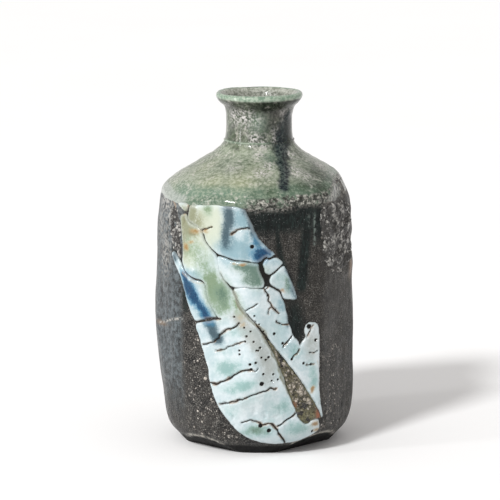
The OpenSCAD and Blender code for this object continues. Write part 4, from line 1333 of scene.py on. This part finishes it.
def make_neck_ring():
    """Fine bead at the foot of the neck: a small round section that fades and swells on its way round."""
    a = azimuths()
    around = np.linspace(0, 2 * np.pi, 12, endpoint=False)[:, None]
    size = 0.32 + 0.10 * lumps(place(a, 15.0, RING_Z + 0 * a), 3.0, 33) - 0.22 * ease(38, 14, np.abs(a - 52))
    size = np.maximum(size, 0.08)
    reach = read_off([(z, r) for r, z in NECK_LINE[:4]], np.float64(RING_Z), 0.3)
    rows = place(a[None, :], reach + size * np.cos(around), RING_Z + 0.8 * size * np.sin(around), NECK_X)
    full = np.ones(rows.shape[:2])
    dark = ease(8, 24, a) * ease(100, 80, a) * full
    piece = turned_solid("Neck_Ring", rows, {"celadon": 0.6 * (1 - dark), "neck": dark, "shade": 0.6 * dark})
    finish_piece(piece, "ash_green", finish("Ash Glaze"), "neck_ring")


def make_slip():
    """The white slip's islands, parted by the cracks that run right through it."""
    pitch, top = sizes().coat_pitch / MM, slip_height(sizes().slip_thickness / MM)

    def moved(line, turn, rise):
        return [(azimuth + turn, height + rise) for azimuth, height in line]

    upper_left = [p for p in moved(SEAM_MAIN, -0.2, -0.15)[::-1] if p[0] < -26 and p[1] < 100]
    islands = [
        ("Slip_Crown", "slip_crown", moved(SEAM_MAIN, 0.2, 0.15) + CROWN_RIGHT),
        ("Slip_Tongue", "slip_tongue", TONGUE_LEFT + SEAM_GRIT[::-1] + TONGUE_MIDDLE + upper_left),
        ("Slip_Edge_Strip", "slip_edge_strip", EDGE_STRIP),
        ("Slip_Middle", "slip_middle", MIDDLE),
        ("Slip_Blade", "slip_blade", BLADE_TOP + BLADE_RIGHT + moved(SEAM_BLADE[1:9], 0.3, 0.2)[::-1]),
        ("Slip_Chip_Upper", "slip_chip_upper", CHIP_UPPER),
        ("Slip_Chip_Outer", "slip_chip_outer", CHIP_OUTER),
        ("Slip_Chip_Corner", "slip_chip_corner", CHIP_CORNER),
    ]
    for seed, (name, node, outline) in enumerate(islands):
        piece = coat_solid(name, outline, pitch, 0.32 if name in ("Slip_Middle", "Slip_Blade") else 0.12,
                           0.30, 81 + seed, top,
                           slip_marks)
        finish_piece(piece, "slip_white", finish("White Slip"), node)


def grit_lumps(where):
    """Lumps of melted stone of three sizes, from about -1 to 1."""
    spread = lifted(where)
    return 0.60 * lumps(spread, 3.0, 71) + 0.30 * lumps(spread, 1.3, 72) + 0.16 * lumps(spread, 0.6, 73)


def grit_height(thickness):
    """Thickness of melted grit, sinking to nothing at the ragged edge."""
    def top(where, depth):
        return thickness * (0.9 + 2.2 * grit_lumps(where)) * np.sqrt(np.clip(depth / 1.4, 0, 1)) - 0.05
    return top


def make_grit():
    """Coarse grit melted into the glaze: the strip that the slip leaves uncovered, and a patch on either
    side.
    """
    pitch, thickness = sizes().coat_pitch / MM, sizes().grit_thickness / MM
    strip = [(a - 0.1, z - 0.1) for a, z in SEAM_BLADE[1:]] + [(a + 0.1, z + 0.1) for a, z in SEAM_GRIT[::-1]]

    def stains(where, depth):
        return {"edge": depth, "lump": grit_lumps(where),
                "olive": strongest(ease(1.1, 0.3, depth), ease(22, 16, where[..., 1])),
                "rust": strongest(blot(where, 39.5, 17.0, 1.0, 2.6), 0.5 * blot(where, 24, 22, 1.0, 1.2))}

    for name, node, slot, material, outline, wobble in (
            ("Grit_Strip", "grit_strip", "grit", "Olive Grit", strip, 0.10),
            ("Grit_Patch_Left", "grit_patch_left", "grit", "Silver Grit", PATCH_LEFT, 1.0),
            ("Grit_Patch_Right", "grit_patch_right", "grit", "Silver Grit", PATCH_RIGHT, 2.2)):
        piece = coat_solid(name, outline, pitch, 0.1, wobble, 91, grit_height(thickness), stains)
        finish_piece(piece, slot, finish(material), node)


def dress_node(node, material):
    """Gives a CAD solid that keeps its own shape its finish."""
    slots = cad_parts[node].data.materials
    slots.clear()
    slots.append(material)


# ---------------------------------------------------------------- operators

class BottlePiece:
    """What the bottle's operators share: each runs its maker and reports success."""
    bl_options = {"REGISTER", "UNDO"}
    maker = None

    def execute(self, context):
        type(self).maker()
        return {"FINISHED"}


class BOTTLE_OT_base(BottlePiece, bpy.types.Operator):
    """Builds the bevelled foot slab"""
    bl_idname = "bottle.base"
    bl_label = "Foot Slab"
    maker = staticmethod(make_base)


class BOTTLE_OT_wall(BottlePiece, bpy.types.Operator):
    """Builds the pared wall"""
    bl_idname = "bottle.wall"
    bl_label = "Pared Wall"
    maker = staticmethod(make_wall)


class BOTTLE_OT_shoulder(BottlePiece, bpy.types.Operator):
    """Builds the clay shoulder under the glaze"""
    bl_idname = "bottle.shoulder"
    bl_label = "Shoulder"
    maker = staticmethod(make_shoulder)


class BOTTLE_OT_glaze(BottlePiece, bpy.types.Operator):
    """Builds the ash glaze from the shoulder's edge into the mouth"""
    bl_idname = "bottle.glaze"
    bl_label = "Ash Glaze"
    maker = staticmethod(make_glaze)


class BOTTLE_OT_neck_ring(BottlePiece, bpy.types.Operator):
    """Builds the fine ring at the foot of the neck"""
    bl_idname = "bottle.neck_ring"
    bl_label = "Neck Ring"
    maker = staticmethod(make_neck_ring)


class BOTTLE_OT_slip(BottlePiece, bpy.types.Operator):
    """Builds the islands of white slip with their cracks and pinholes"""
    bl_idname = "bottle.slip"
    bl_label = "White Slip"
    maker = staticmethod(make_slip)


class BOTTLE_OT_grit(BottlePiece, bpy.types.Operator):
    """Builds the strip and the patches of melted grit"""
    bl_idname = "bottle.grit"
    bl_label = "Melted Grit"
    maker = staticmethod(make_grit)


class BOTTLE_OT_inside(BottlePiece, bpy.types.Operator):
    """Finishes the neck, the lip's core and the glaze in the hollow, which keep their CAD shapes"""
    bl_idname = "bottle.inside"
    bl_label = "Neck Core and Lining"

    @staticmethod
    def maker():
        dress_node("neck", finish("Iron Clay"))
        dress_node("lip_roll", finish("Iron Clay"))
        dress_node("inner_glaze", finish("Inner Glaze"))


class BOTTLE_OT_stage(BottlePiece, bpy.types.Operator):
    """Lays the floor, lights it softly and sets the camera"""
    bl_idname = "bottle.stage"
    bl_label = "Stage"

    @staticmethod
    def maker():
        make_stage()


STEPS = (BOTTLE_OT_base, BOTTLE_OT_wall, BOTTLE_OT_shoulder, BOTTLE_OT_glaze, BOTTLE_OT_neck_ring,
         BOTTLE_OT_slip,
         BOTTLE_OT_grit, BOTTLE_OT_inside, BOTTLE_OT_stage)


def aim(thing, target):
    """Turns a light so that it shines at a point."""
    away = Vector(thing.location) - Vector(target)
    thing.rotation_euler = away.to_track_quat("Z", "Y").to_euler()


def add_light(name, place_at, target, power, width, height):
    """Soft rectangular light."""
    light = bpy.data.lights.new(name, "AREA")
    light.shape = "RECTANGLE"
    light.energy, light.size, light.size_y = power, width, height
    lamp = bpy.data.objects.new(name, light)
    lamp.location = place_at
    aim(lamp, target)
    bpy.context.collection.objects.link(lamp)


def make_stage():
    """Pale floor, white room, one key light high at the front left, a weak tall light far left whose
    reflection runs down the facets, and the camera."""
    stage = bpy.context.scene.bottle_stage
    floor_mesh = bpy.data.meshes.new("Floor")
    far = 8.0
    floor_mesh.from_pydata([(-far, -far, 0), (far, -far, 0), (far, far, 0), (-far, far, 0)], [],
                           [(0, 1, 2, 3)])
    floor = bpy.data.objects.new("Floor", floor_mesh)
    bpy.context.collection.objects.link(floor)
    material, w, shader = new_finish("Pale Floor")
    at = w.place()
    tone = w.mix(w.noise(at, 6.0, 2.0), stage.floor_tone, [0.97 * c for c in stage.floor_tone[:3]] + [1.0])
    w.tree.links.new(tone, shader.inputs["Base Color"])
    shader.inputs["Roughness"].default_value = 0.9
    shader.inputs["Specular IOR Level"].default_value = 0.1
    floor_mesh.materials.append(material)

    world = bpy.data.worlds.new("White Room")
    bpy.context.scene.world = world
    world.use_nodes = True
    backdrop = world.node_tree.nodes["Background"]
    backdrop.inputs["Color"].default_value = (1.0, 0.975, 0.96, 1.0)
    backdrop.inputs["Strength"].default_value = stage.room_light

    key = bpy.data.lights.new("Key", "SUN")
    key.energy, key.angle = stage.key_strength, np.radians(9)
    lamp = bpy.data.objects.new("Key", key)
    lamp.rotation_euler = (np.radians(49), 0, np.radians(-36))
    bpy.context.collection.objects.link(lamp)
    add_light("Tall_Side", (-0.9, -0.35, 0.35), (0, 0, 0.07), stage.side_power, 0.10, 0.7)

    lens = bpy.data.cameras.new("Camera")
    lens.sensor_width, lens.lens = 36.0, 226.9
    camera = bpy.data.objects.new("Camera", lens)
    camera.location = (-0.00183, -1.3165, 0.328)
    camera.rotation_euler = (np.radians(90 - 10.63), 0, 0)
    bpy.context.collection.objects.link(camera)
    bpy.context.scene.camera = camera
    bpy.context.scene.view_settings.view_transform = "Standard"


class BOTTLE_PT_panel(bpy.types.Panel):
    """Sizes, colours and building steps of the bottle"""
    bl_idname = "BOTTLE_PT_panel"
    bl_label = "Sake Bottle"
    bl_space_type = "VIEW_3D"
    bl_region_type = "UI"
    bl_category = "Bottle"

    def draw(self, context):
        for group in ("bottle_sizes", "bottle_colours", "bottle_stage"):
            settings = getattr(context.scene, group)
            box = self.layout.box()
            for name in settings.__annotations__:
                box.prop(settings, name)
        for step in STEPS:
            self.layout.operator(step.bl_idname)


GROUPS = {"bottle_sizes": BottleSizes, "bottle_colours": BottleColours, "bottle_stage": BottleStage}


def register():
    for group in (*GROUPS.values(), *STEPS, BOTTLE_PT_panel):
        bpy.utils.register_class(group)
    for name, group in GROUPS.items():
        setattr(bpy.types.Scene, name, bpy.props.PointerProperty(type=group))


def unregister():
    for name in GROUPS:
        delattr(bpy.types.Scene, name)
    for group in (BOTTLE_PT_panel, *reversed(STEPS), *GROUPS.values()):
        bpy.utils.unregister_class(group)


def main():
    """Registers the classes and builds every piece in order."""
    register()
    for step in STEPS:
        name = step.bl_idname.split(".")[1]
        getattr(bpy.ops.bottle, name)()


if __name__ == "__main__":
    main()
